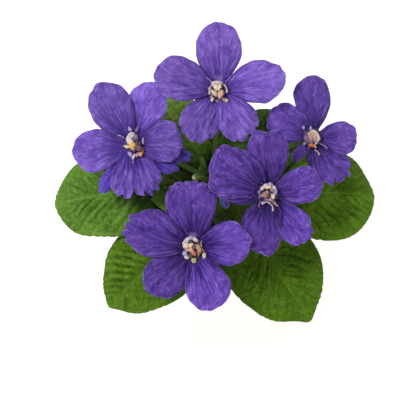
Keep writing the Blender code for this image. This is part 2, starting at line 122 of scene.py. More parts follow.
FLOWERS = (
    Flower("left", (-28.0, 3.4, 78.0), (-0.15, -0.40), (
        Petal("top_left", 120, 24.6, 15.2, 1, 0.0, 0.0),
        Petal("top", 71, 23.2, 14.2, 0, -1.5, 0.0),
        Petal("left", 188, 21.6, 15.0, 0, 0.0, 0.0),
        Petal("right", 5, 17.6, 15.0, 1, 0.5, 0.0),
        Petal("bottom", 272, 19.5, 19.0, 0, 0.5, 1.5),
        Petal("low_left", 238, 19.8, 5.6, -1, -1.5, 0.0),
        Petal("low_right", 331, 18.2, 7.4, -1, -1.0, 0.0),
        Petal("far_right", 348, 20.8, 6.4, -2, -2.0, 0.0))),
    Flower("back", (2.0, 20.5, 86.0), (0.0, -0.30), (
        Petal("top", 90, 24.8, 16.6, 0, 0.0, 0.0),
        Petal("left", 164, 23.4, 15.8, 1, 0.5, 0.0),
        Petal("right", 12, 24.0, 15.4, 1, 0.0, 0.0),
        Petal("low_left", 239, 20.7, 14.0, 0, -0.5, 1.0),
        Petal("low_right", 301, 20.5, 14.0, 2, -0.5, 1.2))),
    Flower("middle", (19.0, -17.0, 80.5), (0.10, -0.45), (
        Petal("top", 90, 23.8, 14.6, 0, -0.5, 2.2),
        Petal("left", 158, 21.8, 18.4, 1, 1.0, 0.0),
        Petal("right", 15, 19.6, 13.0, 1, 0.0, 0.0),
        Petal("low_right", 309, 21.8, 12.8, 0, -2.5, 0.0),
        Petal("bottom", 262, 20.8, 14.0, 1, -2.0, 0.0))),
    Flower("front", (-7.0, -34.5, 74.0), (0.0, -0.50), (
        Petal("top", 93, 24.4, 18.0, 0, -1.5, 1.2),
        Petal("left", 160, 24.0, 16.4, 1, 0.0, 0.0),
        Petal("right", 8, 20.2, 15.4, 1, 1.5, 0.0),
        Petal("low_left", 225, 21.8, 14.8, 0, 0.0, 0.0),
        Petal("low_right", 289, 22.6, 16.8, 2, 0.0, 0.0))),
    Flower("right", (34.6, 9.0, 72.0), (0.15, -0.35), (
        Petal("top", 89, 22.2, 13.2, 0, 0.0, 0.0),
        Petal("left", 150, 17.4, 13.0, 1, -0.5, 0.0),
        Petal("right", 0, 16.2, 12.0, 1, 0.0, 0.0),
        Petal("low_right", 307, 19.6, 12.6, 0, 0.0, 1.0),
        Petal("low_left", 240, 10.2, 4.8, 0, -0.5, 0.0))),
)

# ---------------- sizes of the dressed pieces alone

LEAF_THICKNESS = 0.8            # leaves and petals are a little thinner than their solids
LEAF_EDGE = 0.12                # half of the thickness at the rim
LEAF_MIDDLE = 0.45              # where a blade's middle lies between its hub and its tip
PETAL_THICKNESS = 0.42
PETAL_EDGE = 0.07
LEAF_EDGE_WAVE = 0.5
LEAF_RIM_WAVE = 0.5
LEAF_GRAIN = 0.16
MIDRIB_START = 0.16             # where the stalk meets the blade, as a share of the blade's length
MIDRIB_REACH = 0.62             # how far it runs on under the blade, as such a share
PETAL_EDGE_WAVE = 0.42
PETAL_RIM_WAVE = 0.42
PETAL_ROLL = 0.4
PETAL_FOLD = 0.5
PLEATS = 38.0                   # turns of the pleats' wave, in radians, for each radian of the petal's fan
PLEAT_DEPTH = 0.12
FINE_PLEATS = 80.0
FINE_PLEAT_DEPTH = 0.05
DIMPLE_DEPTH = 0.75
FINE_DIMPLE_DEPTH = 0.20
HALF_SOLID_PETAL = 0.25         # half of the thickness of a petal's solid
ARRIVING_PULL = 0.35            # share of a stalk's reach over which it turns into the flower or leaf
CALYX_PROFILE = ((0.80, 0.46), (0.62, 0.62), (0.45, 0.80), (0.25, 0.92), (0.08, 0.98), (0.0, 0.93))
SEPALS = 5
SEPAL_TURN = 71
SEPAL_START = 1.2
SEPAL_LENGTH = 4.6
SEPAL_MIDDLE = 3.2
SEPAL_DROP = 1.5                # how far the sepals start below a flower's middle
LOW_SEPAL_DROPS = {"left": 2.6}
SEPAL_BEND = 1.1                # how much lower their tips are
SEPAL_ARCH = 0.25
SEPAL_THICKNESS = 0.3
BUD_RIBS = 0.10                 # as a share of the bud's radius
POT_WAVES = 0.10
WHEEL_MARKS = 0.05
SOIL_LUMPS = 0.45
SOIL_CRUMBS = 0.35
CROWN_LUMPS = 0.07              # as shares of the crown's radius, like its scars
CROWN_SCARS = 0.03
CUTTER_ENDS = (-3.0, 6.0)       # the heights between which the drain holes are cut

# ---------------- looks of the single pieces

# Main colour of each leaf as display values, how strong its ribs and its small puckers are on its left and on
# its right side, seen from its stalk, from which share of the way out they calm down towards the rim, how far
# apart the ribs leave the midrib, how much they lean towards the tip, and how far the tip's nib stands out
LeafLook = namedtuple("LeafLook", "colour ribs puckers calm spacing slant nib",
                      defaults=((0.5, 0.5), (0.6, 0.6), 0.8, 3.0, 0.45, 0.0))
# each leaf's colour is partly its own green and partly painted light and shade for how the light falls on it
LEAF_LOOKS = {
    "leaf_left": LeafLook((103, 146, 50), (1.5, 0.8), (0.8, 0.9), 0.5, 3.6, 0.95),
    "leaf_front_left": LeafLook((91, 131, 28), (0.3, 2.0), (0.45, 0.8), 0.75, 3.0, 0.45, 0.4),
    "leaf_front_right": LeafLook((88, 126, 22), (0.7, 0.6), (0.9, 0.9), 0.5, 4.2, 0.75, 1.0),
    "leaf_right": LeafLook((100, 143, 29), (0.8, 1.0), (0.7, 0.8), 0.55, 3.8, 0.85),
    "leaf_back": LeafLook((82, 114, 28)),
    "leaf_back_left": LeafLook((112, 146, 52)),
    "leaf_back_right": LeafLook((80, 114, 30)),
    "leaf_inner_left": LeafLook((112, 154, 50)),
    "leaf_inner_right": LeafLook((98, 136, 38)),
    "leaf_inner_front": LeafLook((72, 100, 26)),
    "leaf_inner_front_left": LeafLook((86, 122, 34)),
}
PUCKER_LENGTH = 2.6             # along a rib
PUCKER_WIDTH = 1.7
RIB_HEIGHT = 0.75
PUCKER_HEIGHT = 0.46
FOLD_DEPTH = 0.35
MIDRIB_DEPTH = 0.7
TOOTH_DEPTH = 0.28
TOOTH_SPACING = 3.0
NIB_ANGLE = 0.10
USUAL_LEAF = 36.0               # length of a leaf whose waves have their full height
UNDERSIDE_SHADE = (142, 158, 104)

# Torn or frilled petals: how much stronger their fan pleats are, the notches in their end as place on the
# outline (radians from the tip, anticlockwise side positive), depth and width, and how much fuller their
# foot is
Frill = namedtuple("Frill", "pleats notches foot", defaults=(0.16,))
SOFT_END = ((0.35, 0.3, 0.12), (-0.4, 0.25, 0.10))
FRILLS = {
    "left_bottom": Frill(2.7, ((-0.13, 3.6, 0.055), (0.33, 3.0, 0.06), (0.66, 1.7, 0.09), (-0.62, 1.5, 0.09),
                               (1.05, 1.3, 0.12))),
    "left_low_left": Frill(2.0, ((0.2, 1.0, 0.15), (-0.5, 0.9, 0.15))),
    "left_low_right": Frill(2.4, ((0.3, 1.8, 0.12), (-0.4, 1.2, 0.12), (0.8, 0.9, 0.12))),
    "left_far_right": Frill(2.4, ((0.0, 1.6, 0.14), (-0.7, 1.1, 0.12), (0.6, 0.9, 0.12))),
    "back_top": Frill(1.0, SOFT_END, -0.18),
    "back_right": Frill(1.0, SOFT_END, -0.05),
    "back_low_left": Frill(2.0, ((-0.3, 1.2, 0.07), (0.35, 1.4, 0.08), (0.9, 0.9, 0.12), (-0.7, 0.8, 0.08))),
    "back_low_right": Frill(2.0, ((-0.5, 1.3, 0.09), (0.1, 1.0, 0.06), (0.6, 0.9, 0.08))),
    "middle_low_right": Frill(2.2, ((-0.35, 1.2, 0.08), (0.05, 0.9, 0.05), (0.4, 1.5, 0.07),
                                    (0.8, 1.0, 0.10)), -0.05),
    "middle_left": Frill(1.4, ((-0.50, -1.2, 0.30), (0.42, 1.0, 0.28), (-0.9, 0.5, 0.08), (1.2, 0.6, 0.10)),
                         0.5),
    "middle_bottom": Frill(1.4, ((-0.2, 0.5, 0.08), (0.6, 0.5, 0.08)), 0.6),
    "right_low_right": Frill(2.4, ((-0.42, 2.4, 0.09), (0.2, 2.0, 0.07), (0.7, 1.2, 0.09), (-0.9, 0.9, 0.10)),
                             1.25),
    "right_left": Frill(1.7, ((0.2, 0.6, 0.08), (-0.5, 0.3, 0.14), (0.9, 0.6, 0.10)), 0.55),
    "front_low_left": Frill(1.4, ((0.5, 0.7, 0.08), (-0.3, 0.6, 0.08)), 0.0),
    "front_low_right": Frill(1.2, SOFT_END, 0.0),
    "front_left": Frill(2.2, ((-0.30, -1.5, 0.10), (0.0, -1.0, 0.08), (0.30, -1.7, 0.10),
                              (0.62, -1.0, 0.09))),
    "front_top": Frill(1.4, ((0.22, 0.9, 0.08), (-0.35, 0.8, 0.08), (0.62, 0.7, 0.08))),
}
PLAIN = Frill(1.0, SOFT_END)

# Light, middle, vein and throat colour of each flower's petals as display values, and how far the dark
# throat reaches along a petal
PETAL_COLOURS = {
    "left": ((128, 100, 192), (104, 76, 170), (76, 50, 142), (56, 35, 122), 0.54),
    "back": ((138, 108, 204), (114, 84, 180), (84, 56, 148), (66, 42, 130), 0.40),
    "middle": ((108, 74, 176), (86, 55, 152), (56, 33, 112), (38, 20, 84), 0.52),
    "front": ((106, 74, 174), (85, 56, 151), (56, 33, 112), (33, 9, 83), 0.54),
    "right": ((114, 82, 182), (95, 66, 158), (64, 43, 120), (50, 31, 102), 0.45),
}
EXTRA_COLOURS = ((96, 76, 186), (76, 56, 162), (54, 36, 120), (44, 30, 104), 0.5)

# Painted light and shade: how much lighter or darker single petals are painted than the rest of their flower,
# for how the light falls on each
PETAL_PAINTED_LIGHT = {
    "left_top_left": 0.92, "left_top": 1.34, "left_left": 1.14, "left_right": 0.98, "left_bottom": 1.1,
    "back_left": 0.90, "back_right": 1.22, "back_low_left": 0.92, "back_low_right": 1.14,
    "middle_top": 0.88, "middle_left": 0.94, "middle_right": 1.22, "middle_low_right": 1.39,
    "middle_bottom": 0.84, "front_left": 0.94, "front_right": 1.25, "front_low_left": 0.85,
    "front_low_right": 1.28, "right_top": 0.95, "right_left": 1.23, "right_right": 1.13,
}

# How single petals differ from their plain CAD solids: turned by so many degrees, wider or narrower, where
# they are widest, how round their end is, longer or shorter, and bowed sideways by so many millimetres
PetalFit = namedtuple("PetalFit", "turn width widest roundness length bow",
                      defaults=(0.0, 1.0, PETAL_WIDEST, PETAL_ROUNDNESS, 1.0, 0.0))
PETAL_FIT = {
    "left_bottom": PetalFit(4.0, 0.97),
    "left_low_left": PetalFit(-4.0, 1.0, length=1.05),
    "middle_bottom": PetalFit(6.0, 1.0, 1.3, length=1.02, bow=-2.0),
    "middle_low_right": PetalFit(2.0, 0.93),
    "front_low_right": PetalFit(2.0, 0.94),
    "middle_left": PetalFit(-8.0, 1.01, PETAL_WIDEST, 0.40, 1.06),
    "right_low_left": PetalFit(-8.0, 0.82, length=1.04),
    "back_top": PetalFit(widest=1.12, roundness=0.52),
    "back_right": PetalFit(widest=1.25, roundness=0.50),
}

USUAL_PETAL = 15.0              # width of a petal whose waves have their full height

# Shades of the petals' pale strokes, rays, blaze, rim, flecks near the rim and specks, as display values
# painted glints of the strokes
GLINT_STROKE_SHADE = (152, 122, 212)
RAY_SHADE = (120, 92, 188)
BLAZE_SHADE = (152, 126, 204)
# painted highlight of the rim
RIM_HIGHLIGHT_SHADE = (164, 138, 212)
# painted highlights of the flecks
FLECK_HIGHLIGHT_SHADE = (158, 128, 214)
# painted glints of the specks
SPECK_GLINT_SHADE = (160, 130, 210)
# Petals with a pale blaze close to the anthers
BLAZED = ("back_top", "front_top")

# An anther lobe: its middle in the flower's plane and its height over it, size, the way its long side points
# (degrees), how much it narrows that way, and its colour
Lump = namedtuple("Lump", "x y height length width turn taper colour")
Thread = namedtuple("Thread", "start end bow radius colour")

CREAM = (222, 202, 174)
PALE = (206, 190, 196)
TAN = (180, 142, 116)
PEACH = (208, 164, 134)
AMBER = (216, 164, 96)
ORANGE = (196, 108, 48)
OLIVE = (130, 106, 66)
# dark brown of lobes in the gaps, partly the anthers' own brown and partly painted shade
BROWN_IN_SHADE = (88, 62, 58)
# painted shadow: dark lobes put in the shaded crevices between the anthers
CREVICE_SHADOW = (44, 24, 36)
ROSE = (184, 136, 152)
DUSK = (152, 114, 112)
BLUSH = (186, 154, 140)
SALMON = (194, 108, 84)
LILAC = (166, 144, 196)
MAUVE = (124, 98, 142)
SAGE = (198, 188, 158)
LIME = (166, 160, 112)

# some lobes are painted light and shade rather than anther parts, as marked below
CENTRES = {
    "left": (
        (-0.7, 1.8, 4.1, 2.8, 1.9, 100, 0.2, PALE),
        (0.1, 3.2, 4.0, 2.5, 1.9, 35, 0.2, PALE),
        # a mauve lobe that is painted shade on the right of the pale lobes
        (1.4, 2.2, 3.7, 2.6, 1.8, 70, 0.3, MAUVE),
        (-0.2, 0.6, 4.4, 2.3, 1.3, 20, 0.2, CREAM),
        (0.4, -0.8, 4.4, 3.0, 2.3, 290, 0.5, AMBER),
        (2.5, -1.3, 4.2, 3.2, 2.4, 335, 0.4, BROWN_IN_SHADE),
        (1.2, -0.2, 4.5, 1.8, 1.0, 310, 0.3, TAN),
        (2.2, 0.6, 4.2, 2.6, 1.3, 330, 0.2, CREVICE_SHADOW),
        (-1.7, -0.8, 3.6, 2.4, 1.3, 170, 0.7, CREAM),
        (3.8, -2.4, 2.9, 2.0, 0.9, 80, 0.2, ORANGE),
        (3.1, -3.4, 2.8, 1.6, 1.3, 100, 0.1, AMBER),
        (2.0, -3.6, 2.9, 1.8, 1.0, 60, 0.2, ROSE),
        (-0.6, -3.4, 2.9, 2.1, 1.4, 130, 0.3, LILAC),
        (0.6, -4.3, 2.6, 2.0, 1.1, 240, 0.4, PALE),
        # these three lilac and mauve lobes lie on the petals' feet as painted highlights
        (3.9, 1.2, 2.7, 2.4, 0.9, 85, 0.4, LILAC),
        (-0.8, 5.3, 2.3, 2.0, 1.1, 120, 0.4, LILAC),
        (1.7, 5.2, 2.3, 2.0, 1.0, 75, 0.4, MAUVE)),
    "back": (
        (-0.75, 1.75, 4.0, 3.7, 1.9, 0, 0.0, PALE),
        (-0.5, 0.3, 5.0, 2.4, 2.8, 270, 0.6, CREAM),
        (-1.4, -1.6, 4.4, 2.6, 1.8, 300, 0.5, SAGE),
        (0.6, -2.0, 4.6, 3.3, 2.1, 255, 0.5, PEACH),
        (-2.9, -0.3, 3.4, 2.4, 1.1, 280, 0.2, CREAM),
        (1.6, -0.4, 3.6, 2.6, 1.0, 285, 0.2, CREVICE_SHADOW),
        (-2.2, -3.5, 2.7, 1.7, 1.1, 250, 0.2, CREAM),
        (-2.5, -2.4, 2.9, 1.4, 0.8, 260, 0.2, TAN),
        (1.6, -3.5, 3.4, 1.8, 1.1, 310, 0.2, ROSE),
        (2.6, -3.9, 3.2, 1.4, 1.1, 340, 0.1, CREAM),
        (-0.3, -4.0, 2.9, 1.8, 1.1, 0, 0.1, MAUVE)),
    "middle": (
        (-2.1, 2.2, 3.5, 1.8, 1.2, 55, 0.2, PALE),
        (-1.1, 3.0, 3.7, 1.8, 1.3, 30, 0.2, PALE),
        (0.6, 3.5, 3.7, 1.8, 1.2, 350, 0.2, LILAC),
        (-0.2, 2.5, 4.1, 2.2, 1.2, 10, 0.1, CREAM),
        (1.9, 2.2, 3.7, 1.8, 1.2, 310, 0.2, PALE),
        (-3.0, 1.0, 3.0, 2.0, 1.1, 60, 0.3, MAUVE),
        (-0.2, 1.5, 4.3, 1.3, 0.9, 10, 0.1, CREVICE_SHADOW),
        (1.0, 1.6, 4.1, 1.8, 0.9, 300, 0.2, ROSE),
        (-1.4, -0.2, 4.0, 2.7, 1.8, 200, 0.3, DUSK),
        (-0.6, 0.7, 4.2, 1.5, 0.9, 250, 0.2, ROSE),
        (0.3, -0.2, 4.2, 2.6, 0.9, 85, 0.2, CREVICE_SHADOW),
        (1.4, -0.7, 4.4, 1.9, 1.3, 280, 0.2, CREAM),
        (2.3, 0.8, 3.9, 2.2, 1.3, 75, 0.3, LILAC),
        (-0.6, -1.8, 3.9, 2.0, 1.1, 340, 0.2, MAUVE),
        (0.7, -1.8, 4.0, 1.8, 1.1, 320, 0.2, ROSE),
        (1.9, -2.9, 3.3, 2.4, 1.0, 315, 0.3, DUSK),
        (-1.8, -2.9, 3.1, 1.7, 1.0, 20, 0.2, LILAC),
        (-3.0, -0.6, 3.0, 2.0, 0.8, 80, 0.3, MAUVE)),
    "front": (
        (-2.7, 1.9, 3.8, 2.4, 1.5, 70, 0.2, PALE),
        (-1.9, 3.0, 3.8, 2.2, 1.5, 40, 0.2, PALE),
        (-0.6, 3.6, 3.8, 2.2, 1.4, 5, 0.1, LILAC),
        (0.7, 3.1, 3.8, 2.2, 1.4, 330, 0.2, PALE),
        (1.9, 2.0, 3.5, 2.2, 1.2, 300, 0.3, CREVICE_SHADOW),
        (-0.7, 2.4, 4.3, 1.6, 1.2, 30, 0.1, CREVICE_SHADOW),
        (-2.2, 1.0, 4.3, 2.4, 1.5, 15, 0.2, CREAM),
        (-0.7, 1.2, 4.5, 2.0, 1.1, 35, 0.2, CREAM),
        (0.6, 0.7, 4.3, 2.0, 1.3, 60, 0.2, BROWN_IN_SHADE),
        (2.0, 0.0, 4.1, 3.0, 1.6, 300, 0.2, TAN),
        (2.0, -1.5, 3.9, 2.2, 1.2, 270, 0.3, OLIVE),
        (-1.7, -0.5, 4.1, 2.0, 1.1, 345, 0.2, BLUSH),
        (-0.5, -0.5, 4.5, 2.1, 1.4, 320, 0.3, PEACH),
        (0.3, -1.5, 4.4, 2.0, 1.4, 300, 0.2, SALMON),
        (-2.7, -1.8, 3.4, 2.2, 1.6, 300, 0.3, LILAC),
        (-2.1, -2.9, 3.4, 1.8, 1.3, 330, 0.2, PALE),
        (-0.7, -2.6, 3.6, 2.0, 1.4, 290, 0.2, BROWN_IN_SHADE),
        (1.5, -2.9, 3.2, 2.2, 1.4, 300, 0.2, CREVICE_SHADOW),
        (0.4, -4.1, 3.3, 1.8, 1.7, 270, 0.1, LIME),
        (3.9, -2.3, 3.2, 2.1, 1.2, 280, 0.2, CREAM)),
    "right": (
        (-0.2, 0.0, 3.9, 3.4, 2.7, 285, 0.1, BLUSH),
        (-2.1, -0.8, 3.6, 3.0, 1.8, 275, 0.2, MAUVE),
        (-1.3, 1.1, 4.1, 2.0, 1.1, 40, 0.2, BLUSH),
        (0.1, 1.8, 4.2, 2.2, 1.1, 345, 0.2, CREAM),
        (1.2, 0.9, 4.4, 2.2, 1.1, 310, 0.2, CREAM),
        (1.8, -0.4, 4.3, 2.0, 1.1, 285, 0.2, CREAM),
        (1.2, -1.7, 4.3, 2.0, 1.0, 240, 0.3, PALE),
        (0.3, 0.5, 4.7, 2.4, 1.0, 320, 0.3, PEACH),
        (-0.6, -0.4, 4.7, 2.6, 0.5, 310, 0.3, BROWN_IN_SHADE),
        (0.5, -1.1, 4.6, 2.1, 1.2, 290, 0.3, ROSE),
        (-0.8, -1.8, 4.3, 2.0, 1.1, 300, 0.3, DUSK),
        (-0.5, -3.0, 3.9, 2.2, 1.3, 345, 0.2, ORANGE),
        (0.6, -3.3, 3.9, 1.5, 1.0, 310, 0.3, AMBER),
        (-0.6, 3.1, 2.7, 1.7, 0.9, 100, 0.2, LILAC),
        (-3.1, 3.4, 2.4, 1.7, 0.8, 100, 0.2, LILAC),
        (-2.9, -2.3, 2.9, 1.3, 0.8, 60, 0.2, LILAC)),
}

# Stamens' threads in the same planes, and some thin strokes that are painted highlights on the petals: each
# end is x, y, height
THREADS = {
    "left": (
        ((1.0, -4.8, 2.8), (0.4, -6.5, 2.2), 0.2, 0.20, LILAC),
        # a lilac stroke: a painted highlight line on the petal
        ((-2.4, 2.0, 2.9), (-4.8, 3.2, 2.0), 0.2, 0.20, LILAC)),
    "back": (
        ((1.7, 1.6, 3.6), (2.8, -1.2, 3.5), -0.4, 0.36, PALE),
        ((-2.6, 1.2, 3.4), (-3.2, -1.8, 3.0), 0.3, 0.30, PALE),
        # two lilac strokes: painted highlights on the petal folds
        ((-2.5, 2.6, 2.6), (-4.2, 4.2, 1.9), 0.1, 0.16, LILAC),
        ((2.3, 2.6, 2.6), (3.9, 4.4, 1.9), 0.1, 0.16, LILAC)),
    "middle": (
        ((-2.9, -2.2, 2.9), (-3.3, -4.3, 2.4), 0.2, 0.24, MAUVE),
        ((-1.8, -2.9, 3.3), (0.5, -3.2, 3.3), -0.4, 0.24, PALE),
        ((0.4, -3.2, 3.3), (1.5, -5.6, 2.6), -0.4, 0.28, PALE),
        ((1.6, -2.4, 3.2), (3.2, -3.9, 2.6), 0.3, 0.24, ROSE)),
    "front": (
        ((2.9, 2.6, 2.8), (3.1, 0.6, 3.0), 0.2, 0.20, PALE),
        ((2.9, 0.2, 3.0), (3.8, -1.6, 3.0), -0.3, 0.24, TAN)),
    "right": (
        ((0.6, -4.6, 2.9), (2.4, -6.1, 2.2), -0.2, 0.30, PALE),
        ((2.0, -2.2, 3.0), (5.1, -3.9, 2.3), -0.2, 0.22, LILAC)),
}

CUSHION_RADIUS = 3.3
CUSHION_PROFILE = ((0.0, 0.7), (0.6, 0.7), (0.9, 0.9), (1.0, 1.3), (0.96, 1.7), (0.82, 2.1), (0.6, 2.4),
                   (0.3, 2.55), (0.0, 2.6))
# painted shade that shows between the anther lobes
CUSHION_SHADOW = (52, 27, 50)
# Half the size of a lobe along, across and up, as shares of its length, its width and its width again
LOBE_HALVES = (0.58, 0.61, 0.46)
# painted shade on a lobe's sides against a painted highlight on its top
LOBE_SINK = 0.7                 # how far a lobe's middle lies under the height given for it
LOBE_EDGE = 0.16                # how dark a lobe's sides are against its top
FLANK = (62, 36, 92)            # the petals' light on a lobe's sides

# A bud's foot on the crown as x and y, its tip, its radius, its colours from the stalk up, its material's
# name and its slot
Bud = namedtuple("Bud", "name foot tip radius colours finish slot")
BUDS = (
    Bud("bud_front", (0.1, -0.6), (5.0, -16.5, 69.0), 1.7,
        ((84, 106, 44), (84, 68, 168), (125, 110, 197)), "bud_violet", "petal"),
    Bud("bud_middle", (-0.9, 0.7), (-7.0, -3.7, 66.0), 1.4,
        ((96, 124, 48), (88, 108, 40), (206, 204, 168)), "bud_green", "bud"),
)

STEM_GREEN = (84, 122, 34)
STEM_WARM = (98, 98, 40)
WET_SOIL = (46, 34, 27)
DRY_SOIL = (58, 44, 34)
BARK = (74, 56, 42)
PERLITE = (206, 198, 184)
GRAINS = 190
GRAIN_REACH = 0.94              # share of the soil's radius
GRAIN_RISE = 0.1
GRAIN_SIZES = ((0.35, 0.95), (0.3, 0.7), (0.25, 0.5))

# Mesh resolution: points or sides round a form, and rings or steps along it
POT_SIDES = 160
POT_STEP = 1.5                  # longest step of the pot's profile, in millimetres
CORNER_STEPS = 5
DRAIN_HOLE_SIDES = 32
SOIL_SIDES = 110
SOIL_RINGS = 34
CROWN_SIDES = 48
CROWN_RINGS = 24
LEAF_POINTS = 240
LEAF_RINGS = 40
LEAF_UNDER_RINGS = 10
INNER_LEAF_POINTS = 120
INNER_LEAF_RINGS = 22
LEAF_STALK_SIDES = 14
LEAF_STALK_RINGS = 26
MIDRIB_RINGS = 10
PETAL_POINTS = 180
PETAL_RINGS = 26
PETAL_UNDER_RINGS = 8
STALK_SIDES = 20
STALK_RINGS = 40
SEPAL_POINTS = 36
SEPAL_RINGS = 8
SEPAL_UNDER_RINGS = 4
CUSHION_SIDES = 48
LUMP_SIDES = 24
LUMP_RINGS = 14
THREAD_SIDES = 10
THREAD_RINGS = 12
BUD_SIDES = 24
BUD_RINGS = 60
TUBE_CAP = 0.3                  # how far a tube's end stands out, as a share of its radius

rng = np.random.default_rng(7)


# ---------------- mesh helpers

def add_object(name, data):
    made = bpy.data.objects.new(name, data)
    bpy.context.scene.collection.objects.link(made)
    return made


def new_mesh(name, points, faces):
    """A mesh from points in millimetres."""
    mesh = bpy.data.meshes.new(name)
    mesh.from_pydata((np.asarray(points) * MM).tolist(), [], faces)
    return mesh


class Shape:
    """Gathers points in millimetres, faces and values on the points, and makes them one object."""

    def __init__(self, *part, **values):
        self.points, self.faces, self.values = [], [], []
        if part:
            self.add(*part, **values)

    def add(self, points, faces, **values):
        """Adds a part; a value is a number for the whole part or one for each point."""
        first = sum(len(part) for part in self.points)
        self.points.append(np.asarray(points, float))
        self.faces += [tuple(int(i) + first for i in face) for face in faces]
        self.values.append({key: np.asarray(value, float) for key, value in values.items()})

    def make(self, name, finish, nodes):
        mesh = new_mesh(name, np.concatenate(self.points), self.faces)
        for key in sorted({key for part in self.values for key in part}):
            self.write_values(mesh, key)
        mesh.shade_smooth()
        mesh.materials.append(finish)
        made = add_object(name, mesh)
        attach(made, "root")
        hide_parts(*nodes)
        return made

    def write_values(self, mesh, key):
        """One attribute from its parts: single numbers, or colours of four; a part without it gets zeros."""
        wide = any(part[key].ndim == 2 for part in self.values if key in part)
        columns = []
        for points, part in zip(self.points, self.values):
            blank = np.zeros((len(points), 4) if wide else len(points))
            columns.append(part.get(key, blank) + blank)
        kind, field = ("FLOAT_COLOR", "color") if wide else ("FLOAT", "value")
        attribute = mesh.attributes.new(key, kind, "POINT")
        attribute.data.foreach_set(field, np.concatenate(columns).astype(np.float32).ravel())


def circle(count):
    """Evenly spaced angles round a circle."""
    return math.tau * np.arange(count) / count


def steps(count):
    """Shares from 0 to 1 in so many steps."""
    return [i / count for i in range(count + 1)]


def smooth(low, high, value):
    share = np.clip((value - low) / (high - low), 0.0, 1.0)
    return share * share * (3.0 - 2.0 * share)


def hump(value, width):
    """A smooth hump of height 1 where the value is 0."""
    return np.exp(-(value / width) ** 2)


def spun(x, y, angle):
    """Places turned about the origin of their plane."""
    return x * math.cos(angle) - y * math.sin(angle), x * math.sin(angle) + y * math.cos(angle)


def blend(first, second, share):
    """Colours between two, by a share for each point."""
    return np.asarray(first) * (1.0 - share[:, None]) + np.asarray(second) * share[:, None]


def width_at(profile, share):
    """Width at a share of the height of a profile of (height, width) pairs."""
    heights, widths = zip(*profile)
    return float(np.interp(share, heights, widths))


def wander(points, size, seed):
    """Smooth noise from -1 to 1 at each point, with bumps about size millimetres across."""
    shift = Vector((seed * 17.31, seed * 5.73, seed * 9.17))
    flat = np.zeros((len(points), 3))
    flat[:, :points.shape[1]] = points / size
    return np.array([noise.noise(Vector(point) + shift) for point in flat])


def band(lower, upper, count):
    """Quads between two closed rings, given by their first points' numbers."""
    return [(lower + i, lower + (i + 1) % count, upper + (i + 1) % count, upper + i) for i in range(count)]


def fan(ring, pole, count, flip=False):
    """Triangles from a ring to one pole."""
    faces = [(ring + i, ring + (i + 1) % count, pole) for i in range(count)]
    return [(b, a, tip) for a, b, tip in faces] if flip else faces


def skin(rings, sides):
    """Faces of stacked rings that are closed by two poles, which follow the rings' points."""
    last, pole = (rings - 1) * sides, rings * sides
    faces = [face for i in range(rings - 1) for face in band(i * sides, (i + 1) * sides, sides)]
    return faces + fan(0, pole, sides, flip=True) + fan(last, pole + 1, sides)


def blade(outline, middle, rings, under_rings):
    """A closed thin blade in its own plane, as rings that shrink the outline towards its middle.

    Gives the points' x and y, their share of the way from the middle to the rim, their side (1 on top,
    -1 underneath) and the faces.
    """
    count = len(outline)
    shares, sides = [], []
    for total, side in ((rings, 1.0), (under_rings, -1.0)):
        shares += [step / total for step in range(total, 0, -1)]
        sides += [side] * total
    flat = np.concatenate([middle + (outline - middle) * share for share in shares] + [[middle], [middle]])
    share = np.concatenate([np.repeat(shares, count), [0.0, 0.0]])
    side = np.concatenate([np.repeat(sides, count), [1.0, -1.0]])
    under = rings * count
    pole = under + under_rings * count
    faces = band(under, 0, count)
    for step in range(rings - 1):
        faces += band(step * count, (step + 1) * count, count)
    faces += fan((rings - 1) * count, pole, count)
    for step in range(under_rings - 1):
        faces += band(under + (step + 1) * count, under + step * count, count)
    faces += fan(under + (under_rings - 1) * count, pole + 1, count, flip=True)
    return flat[:, 0], flat[:, 1], share, side, faces


def placed(centre, x, y, height, along, across, up):
    """A blade's places in its plane and its heights over it, as points in space."""
    return np.array(centre) + np.outer(x, along) + np.outer(y, across) + np.outer(height, up)


def tube(centres, radii, sides):
    """A closed tube through centres with a pole at both ends.

    Gives its points and faces, and each point's share of the way along and its angle round the tube.
    """
    centres = [Vector(centre) for centre in centres]
    angles = circle(sides).tolist()
    points, along = [], []
    side = None
    last = len(centres) - 1
    for i, (centre, radius) in enumerate(zip(centres, radii)):
        direction = (centres[min(i + 1, last)] - centres[max(i - 1, 0)]).normalized()
        side = direction.orthogonal() if side is None else side
        side = (side - direction * side.dot(direction)).normalized()
        other = direction.cross(side)
        points += [centre + (side * math.cos(a) + other * math.sin(a)) * radius for a in angles]
        along += [i / last] * sides
    for end, inner in ((0, 1), (last, last - 1)):
        points.append(centres[end] + (centres[end] - centres[inner]).normalized() * radii[end] * TUBE_CAP)
    turns = np.array(angles * (last + 1) + [0.0, 0.0])
    return np.array(points), skin(last + 1, sides), np.array(along + [0.0, 1.0]), turns


def turned(profile, sides):
    """A closed solid of revolution about Z from (radius, height) points, poles first and last."""
    angles = circle(sides)
    rings = []
    for radius, height in profile[1:-1]:
        rings.append(np.stack([radius * np.cos(angles), radius * np.sin(angles), np.full(sides, height)], 1))
    points = np.concatenate(rings + [[(0.0, 0.0, profile[0][1])], [(0.0, 0.0, profile[-1][1])]])
    return points, skin(len(rings), sides)


def ball(sides, rings):
    """A closed ball of radius 1, poles on Z."""
    angles = [math.pi * i / rings for i in range(1, rings)]
    return turned([(0.0, -1.0)] + [(math.sin(a), -math.cos(a)) for a in angles] + [(0.0, 1.0)], sides)


